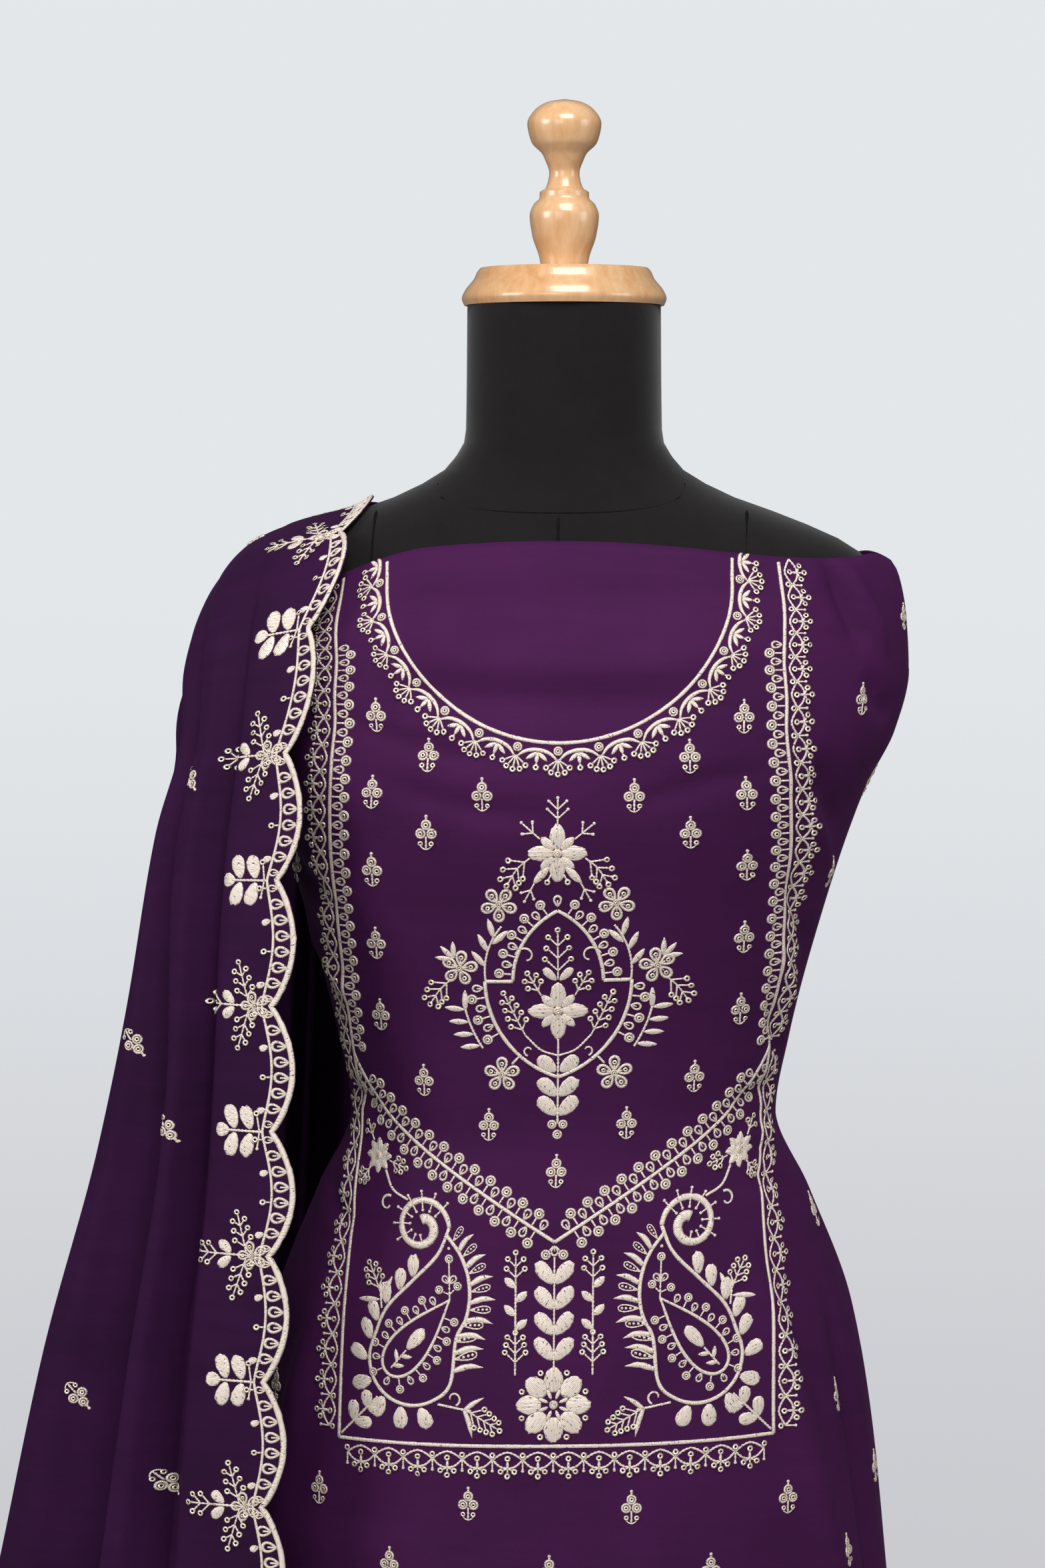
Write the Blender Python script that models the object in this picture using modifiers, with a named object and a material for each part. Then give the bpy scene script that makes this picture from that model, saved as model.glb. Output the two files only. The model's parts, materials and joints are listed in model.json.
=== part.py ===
# A salwar kameez suit on a limbless dress form: an uncut kameez laid across the
# shoulders, a salwar under it, and a dupatta folded over one shoulder.
# Metres, +Z up, the front faces -Y, the origin is under the middle of the stand.

from collections import namedtuple
from math import copysign, cos, exp, pi, radians, sin

import bmesh
import bpy
from mathutils import Vector

seam_gap = 0.0003
cloth_wall = 0.0014
dupatta_wall = 0.0010

# Dress form and stand
form_bottom = 0.745
neck_top = 1.501
form_sides = 28
section_power = 0.88
base_radius = 0.205
base_height = 0.028
pole_radius = 0.016

# Kameez
kameez_hem = 0.350
slit_top = 0.680
slit_part = radians(7)
top_edge_drop = 0.006
top_corner_drop = 0.007
shoulder_drop = 0.026
front_columns = 20
back_columns = 16

# Salwar
salwar_waist = 1.000
salwar_bottom = 0.115
cuff_bottom = 0.075
salwar_columns = 12

# Dupatta: pitch is one scallop of its edge
pitch = 0.0725
scallop_depth = 0.0125
scallop_steps = 6
scallop_power = 0.8
shoulder_from = 15
shoulder_to = 19
join_row = 0.006
bulge_skew = 1.3
fold_back = 0.32
inner_end = 0.40
under_columns = (4, 5, 3)
fold_share = 0.7

Section = namedtuple("Section", "height side front back")

form_sections = [
    Section(0.745, 0.174, 0.100, 0.112),
    Section(0.800, 0.178, 0.103, 0.116),
    Section(0.840, 0.173, 0.103, 0.114),
    Section(0.900, 0.160, 0.099, 0.104),
    Section(0.970, 0.137, 0.091, 0.088),
    Section(1.018, 0.1195, 0.083, 0.077),
    Section(1.065, 0.127, 0.087, 0.077),
    Section(1.140, 0.147, 0.103, 0.082),
    Section(1.215, 0.171, 0.118, 0.087),
    Section(1.250, 0.189, 0.114, 0.090),
    Section(1.300, 0.198, 0.100, 0.092),
    Section(1.326, 0.195, 0.091, 0.092),
    Section(1.342, 0.188, 0.083, 0.089),
    Section(1.357, 0.174, 0.075, 0.083),
    Section(1.374, 0.139, 0.067, 0.074),
    Section(1.390, 0.096, 0.061, 0.066),
    Section(1.406, 0.069, 0.058, 0.060),
    Section(1.425, 0.0585, 0.057, 0.057),
    Section(1.501, 0.0575, 0.057, 0.057),
]

kameez_sections = [
    Section(0.350, 0.233, 0.147, 0.154),
    Section(0.560, 0.213, 0.135, 0.144),
    Section(0.720, 0.1985, 0.124, 0.135),
    Section(0.820, 0.189, 0.116, 0.126),
    Section(0.900, 0.175, 0.108, 0.112),
    Section(0.970, 0.1485, 0.099, 0.095),
    Section(1.018, 0.128, 0.092, 0.085),
    Section(1.065, 0.1358, 0.097, 0.085),
    Section(1.140, 0.155, 0.113, 0.090),
    Section(1.215, 0.180, 0.128, 0.096),
    Section(1.250, 0.1975, 0.124, 0.099),
    Section(1.285, 0.2055, 0.116, 0.100),
    Section(1.315, 0.204, 0.105, 0.100),
    Section(1.342, 0.199, 0.092, 0.097),
    Section(1.363, 0.184, 0.083, 0.092),
]

kameez_levels = [
    0.350, 0.460, 0.560, 0.650, 0.720, 0.770, 0.820, 0.860, 0.900, 0.935, 0.970, 0.995,
    1.018, 1.040, 1.065, 1.100, 1.140, 1.180, 1.215, 1.250, 1.285, 1.315, 1.342, 1.363,
]

# Soft flutes of the skirt: the angle is from +X towards the front
Flute = namedtuple("Flute", "angle width depth top")

kameez_flutes = [
    Flute(12, 13, 0.012, 0.80),
    Flute(40, 11, 0.009, 0.72),
    Flute(70, 14, 0.007, 0.60),
    Flute(112, 15, 0.008, 0.62),
    Flute(146, 12, 0.010, 0.74),
    Flute(172, 11, 0.010, 0.80),
    Flute(-22, 13, 0.011, 0.80),
    Flute(-58, 13, 0.009, 0.72),
    Flute(-92, 14, 0.010, 0.70),
    Flute(-126, 13, 0.009, 0.74),
    Flute(-158, 12, 0.011, 0.80),
]

# Salwar: each leg wraps from the front middle round its side to the back middle,
# and closes on itself at the inseam where wrap comes to 180 degrees
Leg = namedtuple("Leg", "height outer inner front back wrap")

salwar_sections = [
    Leg(0.115, 0.122, 0.042, 0.052, 0.056, 179.9),
    Leg(0.180, 0.135, 0.038, 0.062, 0.068, 179.9),
    Leg(0.300, 0.156, 0.032, 0.078, 0.086, 179.9),
    Leg(0.450, 0.176, 0.027, 0.091, 0.101, 179.9),
    Leg(0.590, 0.186, 0.023, 0.099, 0.111, 179.9),
    Leg(0.640, 0.187, 0.0205, 0.102, 0.115, 150),
    Leg(0.685, 0.186, 0.008, 0.105, 0.118, 112),
    Leg(0.720, 0.185, 0.00015, 0.106, 0.119, 90),
    Leg(0.800, 0.1815, 0.00015, 0.1065, 0.1195, 90),
    Leg(0.840, 0.1765, 0.00015, 0.1065, 0.1175, 90),
    Leg(0.900, 0.1635, 0.00015, 0.1025, 0.1075, 90),
    Leg(0.970, 0.1405, 0.00015, 0.0945, 0.0915, 90),
    Leg(1.000, 0.1285, 0.00015, 0.0885, 0.0835, 90),
]

salwar_levels = [
    0.115, 0.180, 0.260, 0.350, 0.450, 0.540, 0.590, 0.640, 0.685, 0.720,
    0.770, 0.820, 0.860, 0.900, 0.935, 0.970, 1.000,
]

salwar_folds = [
    Flute(-60, 16, 0.006, 0.66),
    Flute(-15, 18, 0.008, 0.70),
    Flute(28, 15, 0.006, 0.62),
    Flute(75, 18, 0.007, 0.68),
    Flute(120, 16, 0.005, 0.56),
    Flute(-115, 17, 0.006, 0.58),
]

# Dupatta: where its top layer lies at each station, from the front hem over the
# shoulder to the back hem. Bulge rounds the section between its two edges, spacing
# parts the folded layers, peek is how far the third layer shows past the first,
# and swell is the height of the ridges.
Station = namedtuple("Station", "inner outer bulge spacing peek swell")

dupatta_stations = [
    Station((-0.161, -0.154, 0.228), (-0.425, -0.088, 0.228), 0.018, 0.0075, -0.012, 0.020),
    Station((-0.161, -0.148, 0.450), (-0.396, -0.084, 0.450), 0.016, 0.0075, -0.012, 0.019),
    Station((-0.161, -0.139, 0.620), (-0.357, -0.078, 0.620), 0.014, 0.0070, -0.010, 0.017),
    Station((-0.161, -0.131, 0.750), (-0.326, -0.074, 0.750), 0.013, 0.0070, -0.010, 0.016),
    Station((-0.160, -0.122, 0.880), (-0.297, -0.068, 0.880), 0.012, 0.0065, -0.006, 0.014),
    Station((-0.155, -0.115, 1.002), (-0.263, -0.062, 1.002), 0.011, 0.0055, 0.013, 0.012),
    Station((-0.155, -0.112, 1.100), (-0.242, -0.060, 1.100), 0.010, 0.0050, 0.018, 0.010),
    Station((-0.151, -0.110, 1.197), (-0.228, -0.056, 1.190), 0.010, 0.0045, 0.024, 0.008),
    Station((-0.147, -0.106, 1.262), (-0.211, -0.056, 1.248), 0.010, 0.0038, 0.033, 0.006),
    Station((-0.1395, -0.098, 1.310), (-0.221, -0.044, 1.284), 0.013, 0.0028, 0.003, 0.004),
    Station((-0.131, -0.078, 1.350), (-0.219, -0.032, 1.304), 0.016, 0.0020, -0.036, 0.002),
    Station((-0.126, -0.046, 1.3705), (-0.216, -0.018, 1.314), 0.018, 0.0017, -0.050, 0.001),
    Station((-0.122, 0.006, 1.383), (-0.214, 0.006, 1.319), 0.018, 0.0016, -0.054, 0.001),
    Station((-0.122, 0.052, 1.3715), (-0.216, 0.034, 1.313), 0.018, 0.0017, -0.050, 0.001),
    Station((-0.124, 0.088, 1.350), (-0.218, 0.054, 1.300), 0.016, 0.0020, -0.036, 0.002),
    Station((-0.127, 0.106, 1.305), (-0.222, 0.066, 1.268), 0.013, 0.0028, -0.012, 0.004),
    Station((-0.129, 0.112, 1.200), (-0.232, 0.072, 1.190), 0.010, 0.0045, -0.008, 0.008),
    Station((-0.133, 0.114, 1.000), (-0.250, 0.080, 1.000), 0.011, 0.0055, -0.008, 0.010),
    Station((-0.137, 0.126, 0.800), (-0.284, 0.088, 0.800), 0.012, 0.0065, -0.010, 0.012),
    Station((-0.141, 0.146, 0.550), (-0.330, 0.098, 0.550), 0.014, 0.0070, -0.010, 0.015),
    Station((-0.146, 0.166, 0.228), (-0.376, 0.106, 0.228), 0.016, 0.0075, -0.012, 0.017),
]

# Ridges that fan down the top layer: how far across each lies, from the scalloped
# edge to the outer fold, at the shoulder and at the hem, and its width there
Ridge = namedtuple("Ridge", "across_top across_hem width_top width_hem share")

dupatta_ridges = [
    Ridge(0.28, 0.22, 0.10, 0.07, 0.65),
    Ridge(0.56, 0.47, 0.10, 0.08, 0.80),
    Ridge(0.90, 0.84, 0.14, 0.13, 1.00),
]


def slope_at(rows, index, column):
    if index == 0 or index == len(rows) - 1:
        low = max(index - 1, 0)
        high = low + 1
        return (rows[high][column] - rows[low][column]) / (rows[high][0] - rows[low][0])
    before = (rows[index][column] - rows[index - 1][column]) / (rows[index][0] - rows[index - 1][0])
    after = (rows[index + 1][column] - rows[index][column]) / (rows[index + 1][0] - rows[index][0])
    if before * after <= 0:
        return 0.0
    return 2 * before * after / (before + after)


def read_rows(rows, place):
    # A smooth curve through the rows' columns, read at any place of the first one
    place = min(max(place, rows[0][0]), rows[-1][0])
    index = 0
    while index < len(rows) - 2 and rows[index + 1][0] < place:
        index += 1
    low, high = rows[index], rows[index + 1]
    span = high[0] - low[0]
    t = (place - low[0]) / span
    values = []
    for column in range(len(low)):
        start = slope_at(rows, index, column) * span
        end = slope_at(rows, index + 1, column) * span
        values.append(
            low[column] * (2 * t ** 3 - 3 * t ** 2 + 1) + start * (t ** 3 - 2 * t ** 2 + t)
            + high[column] * (3 * t ** 2 - 2 * t ** 3) + end * (t ** 3 - t ** 2))
    return values


def signed_power(value, power):
    return copysign(abs(value) ** power, value)


def squared_round(angle):
    # Cosine and sine of a body's section, which is a little squarer than an ellipse
    return signed_power(cos(angle), section_power), signed_power(sin(angle), section_power)


def body_point(sections, angle, height, spread=0.0):
    _, side, front, back = read_rows(sections, height)
    across, ahead = squared_round(angle)
    depth = front if ahead >= 0 else back
    return Vector(((side + spread) * across, -(depth + spread) * ahead, height))


def fade(value, start, end):
    t = min(max((value - start) / (end - start), 0.0), 1.0)
    return t * t * (3 - 2 * t)


def flute_swell(flutes, angle, height, hem):
    swell = 0.0
    for flute in flutes:
        apart = (angle - radians(flute.angle)) / radians(flute.width)
        swell += flute.depth * exp(-apart * apart) * fade(height, flute.top, hem)
    return swell


def make_material(name, colour, roughness, metallic=0.0):
    material = bpy.data.materials.new(name)
    material.use_nodes = True
    shader = material.node_tree.nodes["Principled BSDF"]
    shader.inputs["Base Color"].default_value = (*colour, 1.0)
    shader.inputs["Roughness"].default_value = roughness
    shader.inputs["Metallic"].default_value = metallic
    return material


def add_object(name, mesh, material):
    piece = bpy.data.objects.new(name, mesh)
    collection.objects.link(piece)
    mesh.materials.append(material)
    mesh.shade_smooth()
    mesh.set_sharp_from_angle(angle=radians(50))
    return piece


def lay_cloth(name, rows, material, thickness=cloth_wall, edges=()):
    # A sheet through rows of points, thickened to a wall. Edges holds, for each
    # pair of rows, the extra points of the first column between them.
    surface = bmesh.new()
    grid = [[surface.verts.new(point) for point in row] for row in rows]
    for index in range(len(grid) - 1):
        low, high = grid[index], grid[index + 1]
        extra = [surface.verts.new(point) for point in edges[index]] if edges else []
        surface.faces.new([low[0], low[1], high[1], high[0]] + extra[::-1])
        for column in range(1, len(low) - 1):
            surface.faces.new((low[column], low[column + 1], high[column + 1], high[column]))
    bmesh.ops.triangulate(surface, faces=surface.faces)
    mesh = bpy.data.meshes.new(name)
    surface.to_mesh(mesh)
    surface.free()
    piece = add_object(name, mesh, material)
    wall = piece.modifiers.new("wall", "SOLIDIFY")
    wall.thickness = thickness
    wall.offset = 0.0


def turn_piece(name, profile, steps, material):
    # The profile runs down the outer side as (radius, height)
    mesh = bpy.data.meshes.new(name)
    points = [(radius, 0.0, height) for radius, height in profile]
    mesh.from_pydata(points, [(i, i + 1) for i in range(len(points) - 1)], [])
    piece = add_object(name, mesh, material)
    screw = piece.modifiers.new("turned", "SCREW")
    screw.steps = steps
    screw.render_steps = steps
    screw.use_merge_vertices = True
    screw.merge_threshold = 0.0001
    return piece


def make_form(material):
    levels = [form_bottom, form_bottom + 0.004, form_bottom + 0.016]
    levels += [level for level in kameez_levels if 0.77 < level < 1.35]
    levels += [1.355, 1.364, 1.374, 1.386, 1.398, 1.412, 1.430, neck_top - seam_gap]
    # The bottom edge is rounded over its first two rings
    rounding = {0: -0.016, 1: -0.006}
    body = bmesh.new()
    rings = []
    for index, level in enumerate(levels):
        ring = []
        for side in range(form_sides):
            point = body_point(form_sections, 2 * pi * side / form_sides, level, rounding.get(index, 0))
            ring.append(body.verts.new(point))
        rings.append(ring)
    for low, high in zip(rings, rings[1:]):
        for side in range(form_sides):
            after = (side + 1) % form_sides
            body.faces.new((low[side], high[side], high[after], low[after]))
    body.faces.new(rings[0])
    body.faces.new(rings[-1][::-1])
    mesh = bpy.data.meshes.new("form_torso")
    body.to_mesh(mesh)
    body.free()
    add_object("form_torso", mesh, material)


def make_wood(material):
    rim = neck_top + 0.022
    cap = [
        (0.0, rim), (0.050, rim), (0.0517, rim - 0.002), (0.0535, rim - 0.006),
        (0.0590, rim - 0.013), (0.0610, rim - 0.018), (0.0595, neck_top), (0.0, neck_top),
    ]
    turn_piece("neck_cap", cap, 28, material)
    foot = rim + seam_gap
    finial = [
        (0.0, 1.622), (0.010, 1.6205), (0.0175, 1.616), (0.0220, 1.608), (0.0195, 1.597),
        (0.0130, 1.590), (0.0116, 1.587), (0.0090, 1.579), (0.0112, 1.570), (0.0147, 1.5675),
        (0.0147, 1.5645), (0.0180, 1.561), (0.0206, 1.554), (0.0190, 1.542), (0.0150, 1.530),
        (0.0137, foot), (0.0, foot),
    ]
    turn_piece("finial", finial, 20, material)
    base = [
        (0.0, base_height), (0.060, base_height), (base_radius - 0.030, base_height - 0.004),
        (base_radius - 0.008, base_height - 0.009), (base_radius, base_height - 0.018),
        (base_radius - 0.002, 0.0), (0.0, 0.0),
    ]
    turn_piece("stand_base", base, 36, material)
    foot = base_height + seam_gap
    top = form_bottom - seam_gap
    pole = [(0.0, top), (pole_radius, top), (pole_radius, foot), (0.0, foot)]
    turn_piece("stand_pole", pole, 20, material)


def kameez_point(angle, level):
    # The top edge sinks a little towards the sides, and lower under the dupatta
    drop = top_edge_drop * cos(angle) ** 2 + top_corner_drop * sin(2 * angle) ** 2
    drop += shoulder_drop * fade(-cos(angle), 0.35, 0.90)
    drop *= fade(level, 1.270, 1.363)
    swell = flute_swell(kameez_flutes, angle, level, kameez_hem)
    return body_point(kameez_sections, angle, level - drop, swell)


def make_kameez(material):
    # The side seams lie at 0 and 180 degrees and part into slits below the hips
    for name, start, end, columns in (
            ("kameez_front", 0.0, pi, front_columns), ("kameez_back", 0.0, -pi, back_columns)):
        rows = []
        for level in kameez_levels:
            seam = 0.0012 + slit_part * fade(level, slit_top, kameez_hem)
            inset = copysign(seam, end)
            row = []
            for column in range(columns + 1):
                angle = start + inset + (end - start - 2 * inset) * column / columns
                row.append(kameez_point(angle, level))
            rows.append(row)
        lay_cloth(name, rows, material)


def salwar_point(side, turn, level, tighten=0.0):
    _, outer, inner, front, back, wrap = read_rows(salwar_sections, level)
    angle = radians(wrap) * turn
    end = squared_round(radians(wrap))[0]
    across, ahead = squared_round(angle)
    radius = (outer - inner) / (1 - end)
    swell = flute_swell(salwar_folds, angle, level, salwar_bottom) * (1 - turn ** 4) - tighten
    depth = (front if ahead >= 0 else back) + swell
    return Vector((side * (outer - radius + (radius + swell) * across), -depth * ahead, level))


def make_salwar(material):
    cuff_levels = [cuff_bottom, (cuff_bottom + salwar_bottom) / 2, salwar_bottom - seam_gap]
    for name, side in (("left", 1), ("right", -1)):
        turns = [side * (2 * column / salwar_columns - 1) for column in range(salwar_columns + 1)]
        rows = [[salwar_point(side, turn, level) for turn in turns] for level in salwar_levels]
        lay_cloth("salwar_" + name, rows, material)
        rows = []
        for level in cuff_levels:
            row = [salwar_point(side, turn, salwar_bottom) for turn in turns]
            for point in row:
                point.z = level
            rows.append(row)
        lay_cloth("salwar_cuff_" + name, rows, material)


def dupatta_table():
    # The stations in one table of plain columns, led by the length along the inner edge
    rows = []
    along = 0.0
    for index, station in enumerate(dupatta_stations):
        if index:
            along += (Vector(station.inner) - Vector(dupatta_stations[index - 1].inner)).length
        rows.append((along, *station.inner, *station.outer,
                     station.bulge, station.spacing, station.peek, station.swell))
    return rows


def dupatta_section(table, along):
    values = read_rows(table, along)
    inner, outer = Vector(values[1:4]), Vector(values[4:7])
    ahead = Vector(read_rows(table, along + 0.004)[1:4]) - Vector(read_rows(table, along - 0.004)[1:4])
    chord = outer - inner
    normal = ahead.cross(chord).normalized()
    return inner, chord, normal, values[7:]


def ridge_height(across, along, length):
    # Ridges fan out from the shoulder, halfway along, towards both hems
    hang = min(abs(2 * along / length - 1), 1.0)
    height = 0.0
    for ridge in dupatta_ridges:
        middle = ridge.across_top + (ridge.across_hem - ridge.across_top) * hang
        width = ridge.width_top + (ridge.width_hem - ridge.width_top) * hang
        apart = (across - middle) / width
        height += ridge.share * exp(-apart * apart)
    return height


def scallop(along):
    return scallop_depth * abs(sin(pi * along / pitch)) ** scallop_power


def dupatta_point(table, along, reach, depth, ridged=True):
    # Reach is the way across from the scalloped edge, depth is under the top layer
    inner, chord, normal, (bulge, _, _, swell) = dupatta_section(table, along)
    across = reach / chord.length
    rise = min(max(across, 0.0), 1.0) ** bulge_skew
    lift = bulge * 4 * rise * (1 - rise)
    if ridged:
        lift += swell * ridge_height(across, along, table[-1][0])
    return inner + chord.normalized() * reach + normal * (lift - depth)


def dupatta_row(table, along, top_columns):
    # Four layers: out to the first fold, in to the second, out to the third and in again
    _, chord, _, (_, spacing, peek, _) = dupatta_section(table, along)
    width = chord.length
    near = fold_back * width
    far = width + peek
    half = spacing / 2
    row = []
    for column in range(top_columns + 1):
        share = column / top_columns
        reach = (width - half) * share - scallop(along) * (column == 0)
        row.append(dupatta_point(table, along, reach, 0))
    # The first fold rounds over from the last ridge onto the plain layers below
    ridge_lift = row[-1] - dupatta_point(table, along, width - half, 0, ridged=False)
    row.append(dupatta_point(table, along, width, half, ridged=False) + ridge_lift * fold_share)
    turns = (width - half, near, far, inner_end * width)
    for layer, columns in enumerate(under_columns, 1):
        start, end = turns[layer - 1], turns[layer]
        for column in range(columns + 1):
            reach = start + (end - start) * column / columns
            row.append(dupatta_point(table, along, reach, layer * spacing, ridged=False))
        if layer < len(under_columns):
            turn = end + copysign(half, end - start)
            row.append(dupatta_point(table, along, turn, (layer + 0.5) * spacing, ridged=False))
    return row


def make_dupatta(material):
    table = dupatta_table()
    last = int(table[-1][0] / pitch)
    stretches = (
        ("dupatta_front", 0, shoulder_from, 12, lambda scale: 2 if scale >= 12 else 1),
        ("dupatta_shoulder", shoulder_from, shoulder_to, 8, lambda scale: 3),
        ("dupatta_back", shoulder_to, last, 8, lambda scale: 2 if scale < 21 else 1),
    )
    for name, first, final, top_columns, rows_per_scallop in stretches:
        places = []
        for scale in range(first, final):
            count = rows_per_scallop(scale)
            places += [(scale + step / count) * pitch for step in range(count)]
        places.append(final * pitch)
        # The stretches part along the scalloped edge, which runs up to twice as far
        # over the shoulder as the outer fold does
        places[0] += seam_gap * (first > 0)
        places[-1] -= seam_gap * (final < last)
        # A short row beside each join lets both stretches meet it square
        places[1:1] = [places[0] + join_row] * (first > 0)
        places[-1:-1] = [places[-1] - join_row] * (final < last)
        rows = [dupatta_row(table, along, top_columns) for along in places]
        edges = []
        for low, high in zip(places, places[1:]):
            steps = max(round((high - low) / pitch * scallop_steps), 1)
            between = [low + (high - low) * step / steps for step in range(1, steps)]
            edges.append([dupatta_point(table, along, -scallop(along), 0) for along in between])
        lay_cloth(name, rows, material, dupatta_wall, edges)


for old in list(bpy.data.objects):
    bpy.data.objects.remove(old, do_unlink=True)
collection = bpy.data.collections.new("salwar_kameez_suit")
bpy.context.scene.collection.children.link(collection)

jersey = make_material("black_jersey", (0.030, 0.029, 0.030), 0.85)
wood = make_material("varnished_wood", (0.62, 0.38, 0.18), 0.35)
georgette = make_material("purple_georgette", (0.060, 0.012, 0.070), 0.70)
lining_cloth = make_material("purple_salwar_cloth", (0.050, 0.011, 0.060), 0.75)

make_form(jersey)
make_wood(wood)
make_kameez(georgette)
make_salwar(lining_cloth)
make_dupatta(georgette)
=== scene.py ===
# A salwar kameez suit on a limbless dress form: the uncut kameez is pinned across the
# shoulders, the salwar hangs under it and the dupatta is folded over one shoulder.
# Metres, +Z up, the front faces -Y.
import json
from collections import namedtuple
from math import cos, hypot, pi, radians, sin

import bpy
import numpy as np
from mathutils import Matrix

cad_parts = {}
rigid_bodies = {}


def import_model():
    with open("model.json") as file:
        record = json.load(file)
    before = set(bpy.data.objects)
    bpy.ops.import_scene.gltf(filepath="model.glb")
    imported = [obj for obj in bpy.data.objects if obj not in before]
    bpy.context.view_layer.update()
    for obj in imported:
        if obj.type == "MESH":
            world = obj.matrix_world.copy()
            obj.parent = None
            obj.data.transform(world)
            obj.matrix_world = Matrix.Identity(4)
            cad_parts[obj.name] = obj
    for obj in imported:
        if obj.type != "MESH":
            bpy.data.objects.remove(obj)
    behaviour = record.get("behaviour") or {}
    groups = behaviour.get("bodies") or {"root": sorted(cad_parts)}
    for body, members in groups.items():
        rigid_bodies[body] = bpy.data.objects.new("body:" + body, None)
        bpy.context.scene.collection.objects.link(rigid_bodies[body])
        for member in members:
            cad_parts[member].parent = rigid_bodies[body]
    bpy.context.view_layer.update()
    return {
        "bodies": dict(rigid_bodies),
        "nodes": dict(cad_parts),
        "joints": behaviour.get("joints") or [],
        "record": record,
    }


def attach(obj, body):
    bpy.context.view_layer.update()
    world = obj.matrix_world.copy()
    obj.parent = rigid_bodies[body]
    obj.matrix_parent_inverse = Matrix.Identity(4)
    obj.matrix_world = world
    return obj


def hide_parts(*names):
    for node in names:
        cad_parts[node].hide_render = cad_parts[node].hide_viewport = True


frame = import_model()

view = {"distance": 2.1, "azimuth": radians(2.8), "height": 1.41, "tilt": radians(84.7),
        "turn": radians(3.477), "lens": 80.36}


def toLinear(hexColour):
    # An sRGB hex colour as the linear values that shaders take
    parts = [int(hexColour[i:i + 2], 16) / 255 for i in (1, 3, 5)]
    return (*[p / 12.92 if p <= 0.04045 else ((p + 0.055) / 1.055) ** 2.4 for p in parts], 1.0)


def addNode(tree, kind, sockets=None, **settings):
    # Sockets maps an input's name or number to its value, or to the output that feeds it
    node = tree.nodes.new(kind)
    for name, value in settings.items():
        setattr(node, name, value)
    for key, value in (sockets or {}).items():
        if isinstance(value, bpy.types.NodeSocket):
            tree.links.new(value, node.inputs[key])
        else:
            node.inputs[key].default_value = value
    return node


def placeCamera():
    data = bpy.data.cameras.new("camera")
    data.lens = view["lens"]
    data.sensor_width = 36
    data.clip_start, data.clip_end = 0.05, 50
    camera = bpy.data.objects.new("camera", data)
    bpy.context.scene.collection.objects.link(camera)
    camera.location = (view["distance"] * sin(view["azimuth"]),
                       -view["distance"] * cos(view["azimuth"]), view["height"])
    camera.rotation_euler = (view["tilt"], 0, view["turn"])
    bpy.context.scene.camera = camera


placeCamera()
print("camera placed")


seamGap = 0.0003
sectionPower = 0.88  # bodies are a little squarer than an ellipse
Section = namedtuple("Section", "height side front back")
Flute = namedtuple("Flute", "angle width depth top")


def readRows(rows, places):
    # A smooth curve through the rows' columns, read at places of the first one
    table = np.array(rows, float)
    start = table[:, 0]
    places = np.clip(np.asarray(places, float), start[0], start[-1])
    span = np.diff(start)
    rise = np.diff(table, axis=0) / span[:, None]
    slope = np.zeros_like(table)
    slope[0], slope[-1] = rise[0], rise[-1]
    product, total = rise[:-1] * rise[1:], rise[:-1] + rise[1:]
    slope[1:-1] = np.where(product > 0, 2 * product / np.where(product > 0, total, 1), 0)
    index = np.clip(np.searchsorted(start, places) - 1, 0, len(start) - 2)
    t = ((places - start[index]) / span[index])[..., None]
    reach = span[index][..., None]
    return (table[index] * (2 * t ** 3 - 3 * t ** 2 + 1)
            + slope[index] * reach * (t ** 3 - 2 * t ** 2 + t)
            + table[index + 1] * (3 * t ** 2 - 2 * t ** 3)
            + slope[index + 1] * reach * (t ** 3 - t ** 2))


def signedPower(values, power):
    return np.sign(values) * np.abs(values) ** power


def fade(values, start, end):
    t = np.clip((values - start) / (end - start), 0, 1)
    return t * t * (3 - 2 * t)


def bodyPoint(sections, angle, height, spread=0.0):
    # Angle runs from +X towards the front
    rows = readRows(sections, height)
    across, ahead = signedPower(np.cos(angle), sectionPower), signedPower(np.sin(angle), sectionPower)
    depth = np.where(ahead >= 0, rows[..., 2], rows[..., 3])
    return np.stack([(rows[..., 1] + spread) * across, -(depth + spread) * ahead,
                     np.broadcast_to(height, across.shape)], axis=-1)


def fluteSwell(flutes, angle, height, hem):
    swell = np.zeros(np.broadcast(angle, height).shape)
    for flute in flutes:
        apart = (angle - radians(flute.angle)) / radians(flute.width)
        swell += flute.depth * np.exp(-apart * apart) * fade(height, flute.top, hem)
    return swell


Crease = namedtuple("Crease", "start end bend width depth")


def creaseSwell(creases, across, height):
    # Soft ridges (depth above 0) and troughs along a bowed line between two places
    swell = np.zeros(np.broadcast(across, height).shape)
    for crease in creases:
        (x0, z0), (x1, z1) = crease.start, crease.end
        dx, dz = x1 - x0, z1 - z0
        length = hypot(dx, dz)
        along = ((across - x0) * dx + (height - z0) * dz) / length ** 2
        off = ((across - x0) * dz - (height - z0) * dx) / length
        off = off - crease.bend * 4 * along * (1 - along)
        ends = fade(along, -0.08, 0.30) * fade(along, 1.08, 0.66)
        swell += 2.0 * crease.depth * ends * np.exp(-(off / crease.width) ** 2)
    return swell


def deselectAll():
    if bpy.context.object and bpy.context.object.mode != "OBJECT":
        bpy.ops.object.mode_set(mode="OBJECT")
    bpy.ops.object.select_all(action="DESELECT")


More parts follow.
